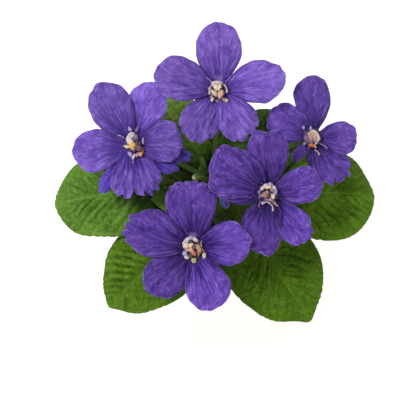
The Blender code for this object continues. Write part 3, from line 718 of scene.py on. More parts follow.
def bent_path(start, leaving, leaving_pull, end, arriving, count):
    """Points of a curve that leaves its start in one direction and reaches its end in another."""
    reach = (end - start).length
    after_start = start + leaving.normalized() * reach * leaving_pull
    before_end = end - arriving * reach * ARRIVING_PULL
    path = []
    for t in steps(count):
        u = 1.0 - t
        path.append(start * u ** 3 + after_start * 3 * u * u * t + before_end * 3 * u * t * t + end * t ** 3)
    return path


# ---------------- material helpers

def rgb(colour, strength=1.0):
    """Linear RGBA of a colour given by its display values from 0 to 255."""
    shares = [value / 255 for value in colour]
    linear = [s / 12.92 if s <= 0.04045 else ((s + 0.055) / 1.055) ** 2.4 for s in shares]
    return (*(channel * strength for channel in linear), 1.0)


class Finish:
    """A Principled material that is painted in layers over a base colour."""

    def __init__(self, name, base=(128, 128, 128), **settings):
        self.material = bpy.data.materials.new(name)
        self.material.use_nodes = True
        self.tree = self.material.node_tree
        self.shader = self.tree.nodes["Principled BSDF"]
        self.painted = rgb(base)
        for key, value in settings.items():
            self.shader.inputs[key.replace("_", " ")].default_value = value

    def node(self, kind, inputs=None, **settings):
        made = self.tree.nodes.new(kind)
        for key, value in settings.items():
            setattr(made, key, value)
        for key, value in (inputs or {}).items():
            self.feed(made.inputs[key], value)
        return made

    def feed(self, socket, value):
        if isinstance(value, bpy.types.NodeSocket):
            self.tree.links.new(value, socket)
        else:
            socket.default_value = value

    def attribute(self, name, output="Fac"):
        return self.node("ShaderNodeAttribute", attribute_name=name).outputs[output]

    def place(self):
        """Object coordinates in millimetres."""
        where = self.node("ShaderNodeTexCoord").outputs["Object"]
        scale = (1 / MM, 1 / MM, 1 / MM)
        return self.node("ShaderNodeVectorMath", {0: where, 1: scale}, operation="MULTIPLY").outputs[0]

    def shifted(self, where, shift):
        return self.node("ShaderNodeVectorMath", {0: where, 1: shift}).outputs[0]

    def vector(self, x, y, z):
        return self.node("ShaderNodeCombineXYZ", {0: x, 1: y, 2: z}).outputs[0]

    def math(self, operation, a, b=0.0, c=0.0):
        return self.node("ShaderNodeMath", {0: a, 1: b, 2: c}, operation=operation).outputs[0]

    def plus(self, a, b):
        return self.math("ADD", a, b)

    def times(self, value, *factors):
        for factor in factors:
            value = self.math("MULTIPLY", value, factor)
        return value

    def noise(self, where, scale, detail=3.0, roughness=0.55):
        inputs = {"Vector": where, "Scale": scale, "Detail": detail, "Roughness": roughness}
        return self.node("ShaderNodeTexNoise", inputs).outputs["Fac"]

    def cells(self, where, scale):
        """Distance from the edges of irregular cells."""
        inputs = {"Vector": where, "Scale": scale}
        return self.node("ShaderNodeTexVoronoi", inputs, feature="DISTANCE_TO_EDGE").outputs["Distance"]

    def fade(self, value, low, high, to_low=0.0, to_high=1.0):
        """Maps value smoothly from low..high to to_low..to_high."""
        inputs = {0: value, 1: low, 2: high, 3: to_low, 4: to_high}
        return self.node("ShaderNodeMapRange", inputs, interpolation_type="SMOOTHSTEP").outputs[0]

    def tint(self, shade, share, *gates, blend_type="MIX"):
        """Paints a shade over the colour by the product of a share and its gates.

        A shade of three numbers holds display values, and one of four is linear.
        """
        shade = rgb(shade) if len(shade) == 3 else shade
        inputs = {0: self.times(share, *gates), 6: self.painted, 7: shade}
        self.painted = self.node("ShaderNodeMix", inputs, data_type="RGBA", blend_type=blend_type).outputs[2]

    def finished(self, grain, least_rough, most_rough, relief, strength, depth):
        """The material with its colour, a roughness that follows its grain, and bump of depth millimetres."""
        bump = self.node("ShaderNodeBump", {"Strength": strength, "Distance": depth * MM, "Height": relief})
        rough = self.fade(grain, 0.3, 0.7, least_rough, most_rough)
        for key, value in (("Base Color", self.painted), ("Roughness", rough), ("Normal", bump.outputs[0])):
            self.feed(self.shader.inputs[key], value)
        return self.material


# ---------------- materials

def petal_finish(name, colours):
    light, middle, vein, throat, throat_reach = colours
    finish = Finish(name, middle, Sheen_Weight=0.06, Sheen_Roughness=0.4, Sheen_Tint=(0.72, 0.62, 1.0, 1.0),
                    Specular_IOR_Level=0.12)
    fade, noise_at, plus, times, tint = finish.fade, finish.noise, finish.plus, finish.times, finish.tint
    where = finish.place()
    along, rim, seed = (finish.attribute(key) for key in ("along", "rim", "seed"))
    # fan lines run straight from the throat and wander further out
    astray = times(plus(noise_at(where, 0.42, 3.0, 0.6), -0.5), fade(along, 0.25, 0.75, 0.0, 0.15))
    across = plus(finish.attribute("fan"), astray)

    def drawn_out(across_scale, along_scale, shift=seed):
        """A place for patterns that are drawn out along the petal."""
        return finish.vector(times(across, across_scale), times(along, along_scale), shift)

    # mottling and broad clouds, creases, and coarse and fine streaks that fan out from the throat
    mottle = noise_at(where, 0.32, 5.0, 0.6)
    creases = noise_at(drawn_out(8.0, 3.2, times(seed, 1.7)), 1.0, 3.0, 0.6)
    streaks = noise_at(drawn_out(15.0, 2.0), 1.0, 4.0, 0.65)
    for pattern, low, high, most, shade in (
            (mottle, 0.36, 0.64, 1.0, light), (noise_at(where, 0.13, 2.0), 0.54, 0.34, 0.35, vein),
            (creases, 0.46, 0.34, 0.70, vein), (creases, 0.53, 0.66, 0.55, light),
            (streaks, 0.50, 0.72, 0.60, vein), (streaks, 0.46, 0.28, 0.50, light),
            (noise_at(drawn_out(44.0, 4.0), 1.0, 2.0, 0.5), 0.57, 0.68, 0.55, vein)):
        tint(shade, fade(pattern, low, high, 0.0, most))
    # pale strokes in patches: painted glints of a glossy petal
    glint_strokes = noise_at(drawn_out(30.0, 4.5), 1.0, 2.0, 0.5)
    patches = fade(noise_at(where, 0.28, 2.0), 0.46, 0.60)
    tint(GLINT_STROKE_SHADE, fade(glint_strokes, 0.56, 0.68, 0.0, 0.65), patches, fade(along, 0.3, 0.6))
    # the net of veins, which thins out towards the rim
    warp = finish.vector(times(mottle, 0.8), times(streaks, 0.8), 0.0)
    line = fade(finish.cells(finish.shifted(drawn_out(10.5, 3.0), warp), 1.0), 0.0, 0.10, 1.0, 0.0)
    tint(vein, line, fade(along, 0.25, 0.9, 0.70, 0.10))
    # dark fold down the middle, and a dark line on each side of it
    off_middle = finish.math("ABSOLUTE", finish.math("MULTIPLY_ADD", streaks, 0.05, plus(across, -0.025)))
    tint(vein, fade(off_middle, 0.0, 0.022, 0.75, 0.0), fade(along, 0.95, 0.5))
    beside = finish.math("ABSOLUTE", plus(off_middle, -0.085))
    tint(vein, fade(beside, 0.0, 0.016, 0.55, 0.0), fade(along, 0.85, 0.35))
    # throat, whose edge runs out in streaks, its pale rays and the blaze of some petals
    wandering = finish.math("MULTIPLY_ADD", streaks, -0.9, plus(along, 0.45))
    tint(throat, fade(wandering, 0.06, throat_reach, 0.95, 0.0))
    rays = noise_at(drawn_out(22.0, 1.2, plus(seed, 5.0)), 1.0, 2.0, 0.5)
    tint(RAY_SHADE, fade(rays, 0.56, 0.68, 0.0, 0.55), fade(along, 0.70, 0.35), fade(along, 0.10, 0.22))
    blaze = finish.attribute("blaze")
    tint(BLAZE_SHADE, fade(along, 0.19, 0.12), fade(off_middle, 0.34, 0.08), blaze, 0.75)
    # a faint pale rim that is a painted highlight, a darker rim near the foot that is painted shade, pale and
    # dark flecks near it, and specks all over
    # painted highlight where the petal's edge catches light
    tint(RIM_HIGHLIGHT_SHADE, fade(rim, 0.0, 0.06, 0.55, 0.0), fade(noise_at(where, 0.5, 2.0), 0.40, 0.62))
    # painted shade along the rim near the foot, where petals overlap
    tint(throat, fade(rim, 0.0, 0.14, 0.75, 0.0), fade(along, 0.75, 0.35))
    flecks = noise_at(finish.vector(times(rim, 26.0), times(across, 9.0), seed), 1.0, 2.0)
    near_rim = fade(rim, 0.50, 0.08)
    # pale flecks near the rim: painted highlights
    tint(FLECK_HIGHLIGHT_SHADE, fade(flecks, 0.56, 0.68, 0.0, 0.6), near_rim)
    tint(vein, fade(flecks, 0.45, 0.34, 0.0, 0.65), near_rim)
    specks = noise_at(where, 2.2, 2.0, 0.4)
    # pale specks: painted glints
    tint(SPECK_GLINT_SHADE, fade(specks, 0.60, 0.74, 0.0, 0.45), fade(along, 0.3, 0.65))
    tint(vein, fade(specks, 0.38, 0.28, 0.0, 0.40))
    # each petal's painted light and shade, from its light attribute
    inputs = {"Value": finish.attribute("light"), "Color": finish.painted}
    finish.painted = finish.node("ShaderNodeHueSaturation", inputs).outputs[0]
    relief = finish.math("MULTIPLY_ADD", line, -0.6, times(noise_at(where, 1.8, 4.0), 0.9))
    return finish.finished(mottle, 0.55, 0.7, relief, 0.8, 0.26)


def leaf_finish(name, base):
    def shade(*strengths):
        return tuple(channel * strength for channel, strength in zip(base, strengths))

    pale, deep = shade(1.30, 1.20, 1.7), shade(0.56, 0.62, 0.42)
    finish = Finish(name, base, Specular_IOR_Level=0.10)
    fade, noise_at, tint = finish.fade, finish.noise, finish.tint
    where = finish.place()
    tint(shade(0.88, 0.90, 0.8), fade(noise_at(where, 0.16, 4.0), 0.35, 0.68))
    mottle = noise_at(where, 0.7, 5.0, 0.65)
    tint(pale, fade(mottle, 0.50, 0.66, 0.0, 0.50))
    tint(deep, fade(mottle, 0.50, 0.34, 0.0, 0.55))
    # painted highlight on the ridges and painted shade in the valleys of the puckered surface
    pillow, broken = finish.attribute("pillow"), noise_at(where, 0.45, 3.0)
    tint(pale, fade(pillow, 0.55, 1.0, 0.0, 0.8), fade(broken, 0.38, 0.60))
    tint(deep, fade(pillow, 0.5, 0.0, 0.0, 0.8), fade(broken, 0.66, 0.42, 0.35, 1.0))
    # fine net between the veins, and a pale midrib
    warp = noise_at(where, 0.6, 2.0)
    net = finish.cells(finish.shifted(where, finish.vector(warp, warp, warp)), 1.3)
    tint(deep, fade(net, 0.0, 0.10, 0.30, 0.0))
    tint(pale, finish.attribute("midrib"), 0.45)
    # painted shade darkening the foot of the blade, and a paler underside
    tint(shade(0.42, 0.48, 0.35), fade(finish.attribute("out"), 0.34, 0.05, 0.0, 0.75))
    tint(UNDERSIDE_SHADE, fade(finish.attribute("side"), 0.0, -0.5))
    fine = finish.times(noise_at(where, 2.6, 4.0), 0.9)
    relief = finish.math("MULTIPLY_ADD", fade(net, 0.0, 0.35), 0.6, fine)
    return finish.finished(mottle, 0.42, 0.62, relief, 0.8, 0.32)


def stem_finish():
    finish = Finish("stem_green", STEM_GREEN, Sheen_Weight=0.06, Sheen_Roughness=0.4)
    where = finish.place()
    cloud = finish.noise(where, 0.5, 3.0)
    finish.tint(STEM_WARM, finish.fade(cloud, 0.4, 0.66, 0.0, 0.25))
    streaks = finish.noise(finish.vector(finish.attribute("turn"), finish.attribute("along"), 0.0), 9.0, 3.0)
    finish.tint(rgb(STEM_GREEN, 1.7), finish.fade(streaks, 0.48, 0.7, 0.0, 0.5))
    return finish.finished(cloud, 0.42, 0.6, finish.plus(streaks, finish.noise(where, 2.5, 3.0)), 0.6, 0.2)


def toned_finish(name, roughness, grain, depth):
    """A material coloured by the mesh's own tone attribute, with grain."""
    finish = Finish(name, Specular_IOR_Level=0.4)
    finish.painted = finish.attribute("tone", "Color")
    speckle = finish.noise(finish.place(), grain, 4.0)
    dark, pale = finish.fade(speckle, 0.52, 0.36, 0.0, 0.45), finish.fade(speckle, 0.55, 0.75, 0.0, 0.35)
    finish.tint((0.30, 0.22, 0.16, 1.0), dark, blend_type="MULTIPLY")
    finish.tint((1.0, 0.97, 0.9, 1.0), pale, blend_type="SCREEN")
    return finish.finished(speckle, roughness - 0.12, roughness + 0.1, speckle, 0.7, depth)


def clay_finish():
    finish = Finish("terracotta", (186, 106, 68), Specular_IOR_Level=0.25)
    fade, tint = finish.fade, finish.tint
    where = finish.place()
    height = finish.node("ShaderNodeSeparateXYZ", {0: where}).outputs[2]
    cloud = finish.noise(where, 0.06, 5.0)
    grit = finish.noise(where, 1.6, 4.0, 0.7)
    tint((208, 132, 92), fade(cloud, 0.35, 0.7))
    tint((226, 168, 132), fade(grit, 0.56, 0.7, 0.0, 0.5))
    tint((140, 76, 48), fade(grit, 0.44, 0.32, 0.0, 0.5))
    # rings left by the wheel
    rings = finish.noise(finish.vector(0.0, 0.0, height), 0.9, 2.0)
    tint((160, 88, 56), fade(rings, 0.5, 0.7, 0.0, 0.25))
    # lime bloom above the foot and damp under the rim
    tint((222, 200, 182), fade(height, 20.0, 2.0), fade(cloud, 0.42, 0.62), 0.55)
    tint((132, 74, 48), fade(height, 22.0, 36.0), fade(cloud, 0.6, 0.42), 0.3)
    return finish.finished(grit, 0.72, 0.92, finish.plus(grit, finish.times(rings, 1.5)), 0.6, 0.3)


# ---------------- pot, soil and crown

UNDER_RIM = POT_HEIGHT - POT_RIM_DEPTH


def pot_radius(height):
    top = POT_RIM_RADIUS - POT_RIM_STEP - POT_RIM_TAPER
    return POT_BASE_RADIUS + (top - POT_BASE_RADIUS) * height / UNDER_RIM


def pot_inner_radius(height):
    if height <= UNDER_RIM:
        return pot_radius(height) - POT_WALL
    share = (height - UNDER_RIM) / (POT_RIM_DEPTH - POT_EDGE)
    under = pot_radius(UNDER_RIM) - POT_WALL
    return under + (POT_RIM_RADIUS - POT_WALL - POT_EDGE - under) * share


def rounded(corners, radius):
    """A profile whose inner corners are rounded; radius is the length cut from each side of a corner."""
    made = [corners[0]]
    for before, corner, after in zip(corners, corners[1:], corners[2:]):
        before, corner, after = Vector(before), Vector(corner), Vector(after)
        cut = min(radius, (before - corner).length * 0.45, (after - corner).length * 0.45)
        start = corner + (before - corner).normalized() * cut
        end = corner + (after - corner).normalized() * cut
        made += [tuple(start.lerp(corner, t).lerp(corner.lerp(end, t), t)) for t in steps(CORNER_STEPS)]
    return made + [corners[-1]]


def divided(profile, longest):
    """Adds points so that no step of a profile is longer than longest."""
    made = [profile[0]]
    for before, after in zip(profile, profile[1:]):
        count = max(1, math.ceil(math.dist(before, after) / longest))
        made += [tuple(Vector(before).lerp(Vector(after), t)) for t in steps(count)[1:]]
    return made


def make_pot():
    corners = (
        (0.0, 0.0), (POT_BASE_RADIUS, 0.0), (pot_radius(UNDER_RIM), UNDER_RIM),
        (POT_RIM_RADIUS - POT_RIM_TAPER, UNDER_RIM), (POT_RIM_RADIUS, POT_HEIGHT),
        (POT_RIM_RADIUS - POT_WALL, POT_HEIGHT), (pot_inner_radius(UNDER_RIM), UNDER_RIM),
        (pot_inner_radius(POT_WALL), POT_WALL), (0.0, POT_WALL))
    profile = divided(rounded(corners, POT_EDGE), POT_STEP)
    pot = Shape(*turned(profile, POT_SIDES)).make("clay_pot", clay_finish(), ["pot"])
    cutters = []
    for i in range(DRAIN_HOLES):
        angle = math.tau * (i + 0.5) / DRAIN_HOLES
        cutters.append(cut_hole(pot, DRAIN_HOLE_RING * math.cos(angle), DRAIN_HOLE_RING * math.sin(angle)))
    bpy.context.view_layer.update()
    cut = bpy.data.meshes.new_from_object(pot.evaluated_get(bpy.context.evaluated_depsgraph_get()))
    pot.modifiers.clear()
    pot.data = cut
    for cutter in cutters:
        bpy.data.objects.remove(cutter, do_unlink=True)
    work_over_pot(pot)


def cut_hole(pot, x, y):
    bottom, top = CUTTER_ENDS
    profile = [(0.0, bottom), (DRAIN_HOLE_RADIUS, bottom), (DRAIN_HOLE_RADIUS, top), (0.0, top)]
    points, faces = turned(profile, DRAIN_HOLE_SIDES)
    cutter = add_object("hole", new_mesh("hole", points + (x, y, 0.0), faces))
    cut = pot.modifiers.new("hole", "BOOLEAN")
    cut.operation = "DIFFERENCE"
    cut.object = cutter
    return cutter


def work_over_pot(pot):
    """Slight waviness of a hand-thrown wall, none of it where the pot rests."""
    for vert in pot.data.vertices:
        x, y, z = vert.co / MM
        radius = math.hypot(x, y)
        if radius < POT_BASE_RADIUS - 4.0 or z < 1.0:
            continue
        push = POT_WAVES * noise.noise(Vector((x / 14, y / 14, z / 6)))
        push += WHEEL_MARKS * noise.noise(Vector((0.3, 0.7, z * 1.1)))
        vert.co.x += x / radius * push * MM
        vert.co.y += y / radius * push * MM
    pot.data.set_sharp_from_angle(angle=math.radians(50))


SOIL_RADIUS = pot_inner_radius(POT_HEIGHT - SOIL_DROP) - SOIL_FIT


def soil_height(radius):
    return POT_HEIGHT - SOIL_DROP + SOIL_MOUND * (1.0 - (radius / SOIL_RADIUS) ** 2)


def make_soil():
    floor = POT_WALL + GAP
    profile = [(0.0, floor)]
    profile += [(pot_inner_radius(height) - SOIL_FIT, height) for height in (floor, UNDER_RIM)]
    profile += [(SOIL_RADIUS * (1 - t), soil_height(SOIL_RADIUS * (1 - t))) for t in steps(SOIL_RINGS)]
    points, faces = turned(profile, SOIL_SIDES)
    crumbs = SOIL_LUMPS * wander(points[:, :2], 2.2, 3) + SOIL_CRUMBS * wander(points[:, :2], 0.9, 4)
    crumbs *= smooth(CROWN_RADIUS, CROWN_RADIUS + 2.0, np.hypot(points[:, 0], points[:, 1]))
    points[:, 2] += np.where(points[:, 2] > UNDER_RIM + 1.0, crumbs - 0.15, 0.0)
    damp = smooth(-0.6, 0.6, wander(points, 1.6, 5))
    shape = Shape(points, faces, tone=blend(rgb(WET_SOIL), rgb(DRY_SOIL), damp))
    for i in range(GRAINS):
        reach = SOIL_RADIUS * GRAIN_REACH * math.sqrt(rng.uniform(0.06, 1.0))
        angle = rng.uniform(0.0, math.tau)
        size = [rng.uniform(low, high) for low, high in GRAIN_SIZES]
        grain, faces = ball(8, 5)
        grain = grain * (1.0 + 0.35 * wander(grain, 0.8, i))[:, None] * size
        grain[:, 0], grain[:, 1] = spun(grain[:, 0], grain[:, 1], rng.uniform(0.0, math.tau))
        centre = (reach * math.cos(angle), reach * math.sin(angle), soil_height(reach) + GRAIN_RISE)
        colour = rgb(PERLITE) if i % 6 == 0 else rgb(BARK, rng.uniform(0.5, 1.3))
        shape.add(grain + centre, faces, tone=[colour])
    shape.make("potting_mix", toned_finish("potting_mix", 0.85, 1.4, 0.4), ["soil"])


def make_crown(finish):
    """The short stem, scarred where old leaves have come off."""
    profile = [(CROWN_RADIUS * width_at(CROWN_PROFILE, t), CROWN_BASE + CROWN_HEIGHT * t)
               for t in steps(CROWN_RINGS)]
    points, faces = turned([(0.0, CROWN_BASE)] + profile + [(0.0, CROWN_TOP)], CROWN_SIDES)
    push = 1.0 + CROWN_LUMPS * wander(points, 1.8, 6) + CROWN_SCARS * np.sin(points[:, 2] * 4.0)
    points[:, :2] *= push[:, None]
    turn = np.arctan2(points[:, 1], points[:, 0])
    shape = Shape(points, faces, along=points[:, 2] / CROWN_HEIGHT, turn=turn)
    shape.make("short_stem", finish, ["crown"])


# ---------------- leaves

def leaf_outline(leaf, length, count, seed):
    """The CAD leaf's outline with the small round teeth of its edge."""
    angle = circle(count)
    lobe = LEAF_LOBE * length
    from_tip = math.pi - np.abs(math.pi - angle)
    x = (length + lobe) / 2 * (1.0 + np.cos(angle)) - lobe
    x += lobe * hump(math.pi - from_tip, LEAF_CLEFT)
    x += leaf.point * length * hump(from_tip, LEAF_POINT_ANGLE)
    x += LEAF_LOOKS[leaf.name].nib * hump(from_tip, NIB_ANGLE)
    across = np.sin(angle - leaf.egg * np.sin(angle))
    y = leaf.width / 2 * np.sign(across) * np.abs(across) ** leaf.fullness
    teeth = round(1.6 * (length + leaf.width) / TOOTH_SPACING)
    uneven = angle + 0.10 * np.sin(5 * angle + seed) + 0.05 * np.sin(11 * angle + 3 * seed)
    tooth = (np.abs(np.sin(uneven * teeth / 2)) - 0.6) * (0.6 + 0.4 * np.sin(4 * angle + 2 * seed))
    wavy = 0.25 * np.sin(3 * angle + seed) + 0.2 * np.sin(7 * angle + 2 * seed)
    push = (TOOTH_DEPTH * tooth + LEAF_EDGE_WAVE * wavy) / (leaf.width / 2)
    push = 1.0 + push * smooth(0.25, 0.9, math.pi - from_tip)
    middle = length * LEAF_MIDDLE
    return np.stack([middle + (x - middle) * push, y * push], 1)


def pillows(points, seed):
    """Rounded cells about 1 across, parted by narrow grooves: 0 in a groove, 1 on top of a cell."""
    shift = Vector((seed * 7.9, seed * 3.7, 0.5))
    nearest = [noise.voronoi(Vector((x, y, 0.0)) + shift)[0] for x, y in points]
    return smooth(0.0, 0.55, np.array([distances[1] - distances[0] for distances in nearest]))


def leaf_relief(leaf, x, y, length, rim, seed):
    """Height of the puckered surface over the smooth blade, its pillows from 0 to 1, and its midrib."""
    look = LEAF_LOOKS[leaf.name]
    places = np.stack([x, y], 1)
    across = np.abs(y)
    left = smooth(-0.5, 0.5, y)
    ribs, puckers = (pair[0] * left + pair[1] * (1.0 - left) for pair in (look.ribs, look.puckers))
    root = (x - look.slant * across) / (1.0 + 0.5 * across / length) + 1.1 * wander(places, 6.0, seed)
    phase = root / look.spacing + 0.3 * np.sign(y)
    groove = 1.0 - hump(phase - np.round(phase), 0.15)
    rib = 0.45 * (0.5 - 0.5 * np.cos(math.tau * phase)) + 0.55 * groove
    uneven = 0.65 + 0.5 * wander(places, 7.0, seed + 5)
    cell_places = np.stack([root / PUCKER_WIDTH, across / PUCKER_LENGTH + 40.0 * np.sign(y)], 1)
    cells = pillows(cell_places, seed)
    fading = 0.25 + 0.75 * smooth(1.05, look.calm, rim)
    fading *= 0.25 + 0.75 * smooth(0.2, 2.2, across)
    fold_places = np.stack([root / 2.4, across / 5.0 + 7.0 * np.sign(y)], 1)
    folds = hump(wander(fold_places, 1.0, seed + 6), 0.09)
    height = RIB_HEIGHT * ribs * uneven * rib + PUCKER_HEIGHT * puckers * cells - FOLD_DEPTH * folds
    height *= fading
    height += LEAF_GRAIN * wander(places, 1.6, seed + 2) + length / USUAL_LEAF * wander(places, 9.0, seed + 4)
    height -= MIDRIB_DEPTH * length / USUAL_LEAF * hump(y, 1.5) * smooth(length, length * 0.7, x)
    midrib = hump(y, 0.22 + 0.008 * (length - x)) * smooth(length, length * 0.8, x)
    share = ribs / (ribs + puckers)
    pillow = share * rib + (1.0 - share) * cells
    depth = np.clip(np.maximum(ribs, puckers) * uneven, 0.0, 1.0) * fading
    # the pillow value is high where the finish paints highlight on ridges, and low in grooves and folds where
    # it paints shade
    return height, 0.5 + (pillow - 0.5) * depth - 0.3 * folds * fading, midrib


def make_leaf(leaf, seed):
    hub, tip = Vector(leaf.hub), Vector(leaf.tip)
    along = (tip - hub).normalized()
    across = Vector((0.0, 0.0, 1.0)).cross(along).normalized()
    up = along.cross(across)
    length = (tip - hub).length
    inner = leaf.name.startswith("leaf_inner")
    count, rings = (INNER_LEAF_POINTS, INNER_LEAF_RINGS) if inner else (LEAF_POINTS, LEAF_RINGS)
    middle = np.array([length * LEAF_MIDDLE, 0.0])
    outline = leaf_outline(leaf, length, count, seed)
    x, y, share, side, faces = blade(outline, middle, rings, LEAF_UNDER_RINGS)
    relief, pillow, midrib = leaf_relief(leaf, x, y, length, share, seed)
    relief -= 0.8 * np.mean(relief)
    far = (2 * x / length - 1.0) ** 2 + (2 * y / leaf.width) ** 2
    height = LEAF_DOME * (1.0 - far) + relief
    edge_angle = np.arctan2(y, x - middle[0])
    height += LEAF_RIM_WAVE * smooth(0.6, 1.0, share) * np.sin(5 * edge_angle + seed) * length / USUAL_LEAF
    height += side * (LEAF_EDGE + (LEAF_THICKNESS / 2 - LEAF_EDGE) * (1.0 - share ** 4))
    points = placed(hub, x, y, height, along, across, up)
    shape = Shape(points, faces, pillow=pillow, midrib=midrib, side=side, out=x / length)
    add_leaf_stalk(shape, leaf, along, up, length)
    finish = leaf_finish(f"{leaf.name}_green", LEAF_LOOKS[leaf.name].colour)
    shape.make(f"{leaf.name}_blade", finish, [leaf.name])


def add_leaf_stalk(shape, leaf, along, up, length):
    """The leaf's stalk, which runs on under the blade as its midrib."""
    hub = Vector(leaf.hub)
    outward = Vector((hub.x, hub.y, 0.0)).normalized()
    crown_radius = CROWN_RADIUS * width_at(CROWN_PROFILE, (leaf.foot - CROWN_BASE) / CROWN_HEIGHT)
    start = outward * (crown_radius + GAP + LEAF_STALK_SEAT) + Vector((0.0, 0.0, leaf.foot))
    end = hub + along * length * MIDRIB_START - up * (LEAF_STALK_RADIUS * 0.55 - 0.8)
    centres = bent_path(start, outward + Vector((0.0, 0.0, 0.6)), 0.35, end, along, LEAF_STALK_RINGS)
    radii = [LEAF_STALK_RADIUS * (1.1 - 0.35 * t) for t in steps(LEAF_STALK_RINGS)]
    for t in steps(MIDRIB_RINGS)[1:]:
        centres.append(end + along * length * MIDRIB_REACH * t - up * (0.35 + 0.7 * t * t - 0.9 * t))
        radii.append(LEAF_STALK_RADIUS * 0.75 * (1.0 - 0.72 * t))
    points, faces, _, _ = tube(centres, radii, LEAF_STALK_SIDES)
    points += 0.05 * wander(points, 1.2, 8)[:, None]
    shape.add(points, faces, pillow=0.5, midrib=0.6, side=-0.2, out=1.0)


# ---------------- flowers

def flower_axes(flower):
    """The flower's right, upper and facing directions."""
    facing = Vector((flower.lean[0], flower.lean[1], 1.0)).normalized()
    right = (Vector((1.0, 0.0, 0.0)) - facing * facing.x).normalized()
    return right, facing.cross(right), facing


def turned_axes(flower, degrees):
    """Directions along and across a petal or sepal that is turned so far, and the flower's facing."""
    right, upper, facing = flower_axes(flower)
    turn = math.radians(degrees)
    along = right * math.cos(turn) + upper * math.sin(turn)
    return along, upper * math.cos(turn) - right * math.sin(turn), facing


def petal_start(petal):
    return PETAL_START if petal.layer >= 0 else EXTRA_PETAL_START


def petal_outline(petal, fit, frill, seed):
    """The CAD petal's outline, a little uneven, with its notch and any frills at its end."""
    angle = circle(PETAL_POINTS)
    foot = petal_start(petal)
    share = 0.5 + 0.5 * np.cos(angle)
    half = petal.width / 2 * np.clip(np.sin(math.pi * share ** fit.widest), 0.0, 1.0) ** fit.roundness
    if petal.layer >= 0:
        base = 0.9 if frill.foot > -0.1 else 0.0
        half = half * (1.0 + frill.foot * hump(share, 0.30)) + base * hump(share, 0.07)
    x = foot + (petal.length - foot) * share
    from_tip = math.pi - np.abs(math.pi - angle)
    x -= petal.notch * hump(from_tip, PETAL_CLEFT)
    y = half * np.sign(np.sin(angle)) + fit.bow * 4.0 * share * (1.0 - share)
    waves = ((0.5, 4, 1.0), (0.35, 7, 2.3), (0.22, 13, 1.0))
    wavy = sum(size * np.sin(count * angle + shift * seed) for size, count, shift in waves)
    signed = np.where(angle > math.pi, angle - math.tau, angle)
    notches = sum(depth * hump(signed - place, width) for place, depth, width in frill.notches)
    push = 1.0 + (PETAL_EDGE_WAVE * wavy * smooth(0.15, 0.6, share) - notches) / (petal.length * 0.45)
    middle = foot + (petal.length - foot) * 0.55
    return np.stack([middle + (x - middle) * push, y * push], 1), np.array([middle, 0.0])


def petal_relief(petal, frill, x, y, share, spread, rim, seed):
    """Folds, fan pleats, dimples and the wavy rim of a petal, in millimetres."""
    places = np.stack([x, y], 1)
    size = petal.width / USUAL_PETAL
    fold = -PETAL_FOLD * size * hump(y, 0.8 + 0.05 * x) * smooth(1.0, 0.35, share)
    pleats = np.cos(spread * PLEATS + seed + 3.4 * wander(places, 4.5, seed))
    pleats *= 1.0 + 0.8 * wander(places, 5.0, seed + 3)
    pleats = PLEAT_DEPTH * frill.pleats * pleats * smooth(0.05, 0.3, share) * smooth(1.15, 0.5, share)
    fine = np.cos(spread * FINE_PLEATS + 2.0 * wander(places, 3.0, seed + 8))
    pleats += FINE_PLEAT_DEPTH * (frill.pleats - 1.0) * fine * smooth(0.2, 0.6, share)
    dimples = DIMPLE_DEPTH * size * wander(places, 6.0, seed + 1)
    dimples += FINE_DIMPLE_DEPTH * wander(places, 2.1, seed + 2)
    rim_angle = np.arctan2(y, x - petal.length * 0.6)
    wave = np.sin(6 * rim_angle + seed) + 0.7 * np.sin(11 * rim_angle + 2.1 * seed)
    wave = PETAL_RIM_WAVE * size * wave * smooth(0.62, 1.0, rim) * smooth(0.25, 0.6, share)
    wave *= 0.6 + 0.4 * frill.pleats
    roll = -PETAL_ROLL * smooth(0.86, 1.0, rim) * smooth(0.3, 0.7, share)
    return fold + pleats + dimples * smooth(0.0, 0.3, share) + wave + roll


def make_petal(flower, petal, finish, seed):
    name = f"{flower.name}_{petal.name}"
    fit = PETAL_FIT.get(name, PetalFit())
    frill = FRILLS.get(name, PLAIN)
    petal = petal._replace(width=petal.width * fit.width, length=petal.length * fit.length)
    outline, middle = petal_outline(petal, fit, frill, seed)
    x, y, rim, side, faces = blade(outline, middle, PETAL_RINGS, PETAL_UNDER_RINGS)
    foot = petal_start(petal)
    share = (x - foot) / (petal.length - foot)
    spread = np.arctan2(y, x + 1.5)
    edge = np.clip(np.abs(y) / (petal.width / 2), 0.0, 1.0)
    climb = PETAL_LAYER_FOOT + (1.0 - PETAL_LAYER_FOOT) * np.clip(share / PETAL_LAYER_START, 0.0, 1.0)
    height = petal.layer * PETAL_LAYER * (climb if petal.layer > 0 else 1.0)
    height = height + PETAL_CUP * 4 * share * (1.0 - share) + petal.lift * share ** 2 - PETAL_CURL * edge ** 2
    height += petal_relief(petal, frill, x, y, share, spread, rim, seed)
    height += side * (PETAL_EDGE + (PETAL_THICKNESS / 2 - PETAL_EDGE) * (1.0 - rim ** 3))
    points = placed(flower.centre, x, y, height, *turned_axes(flower, petal.angle + fit.turn))
    # light carries the petal's painted light and shade
    shape = Shape(points, faces, along=share, fan=spread, rim=1.0 - rim, seed=seed,
                  light=PETAL_PAINTED_LIGHT.get(name, 1.0), blaze=name in BLAZED)
    shape.make(f"petal_{name}_blade", finish, [f"petal_{name}"])


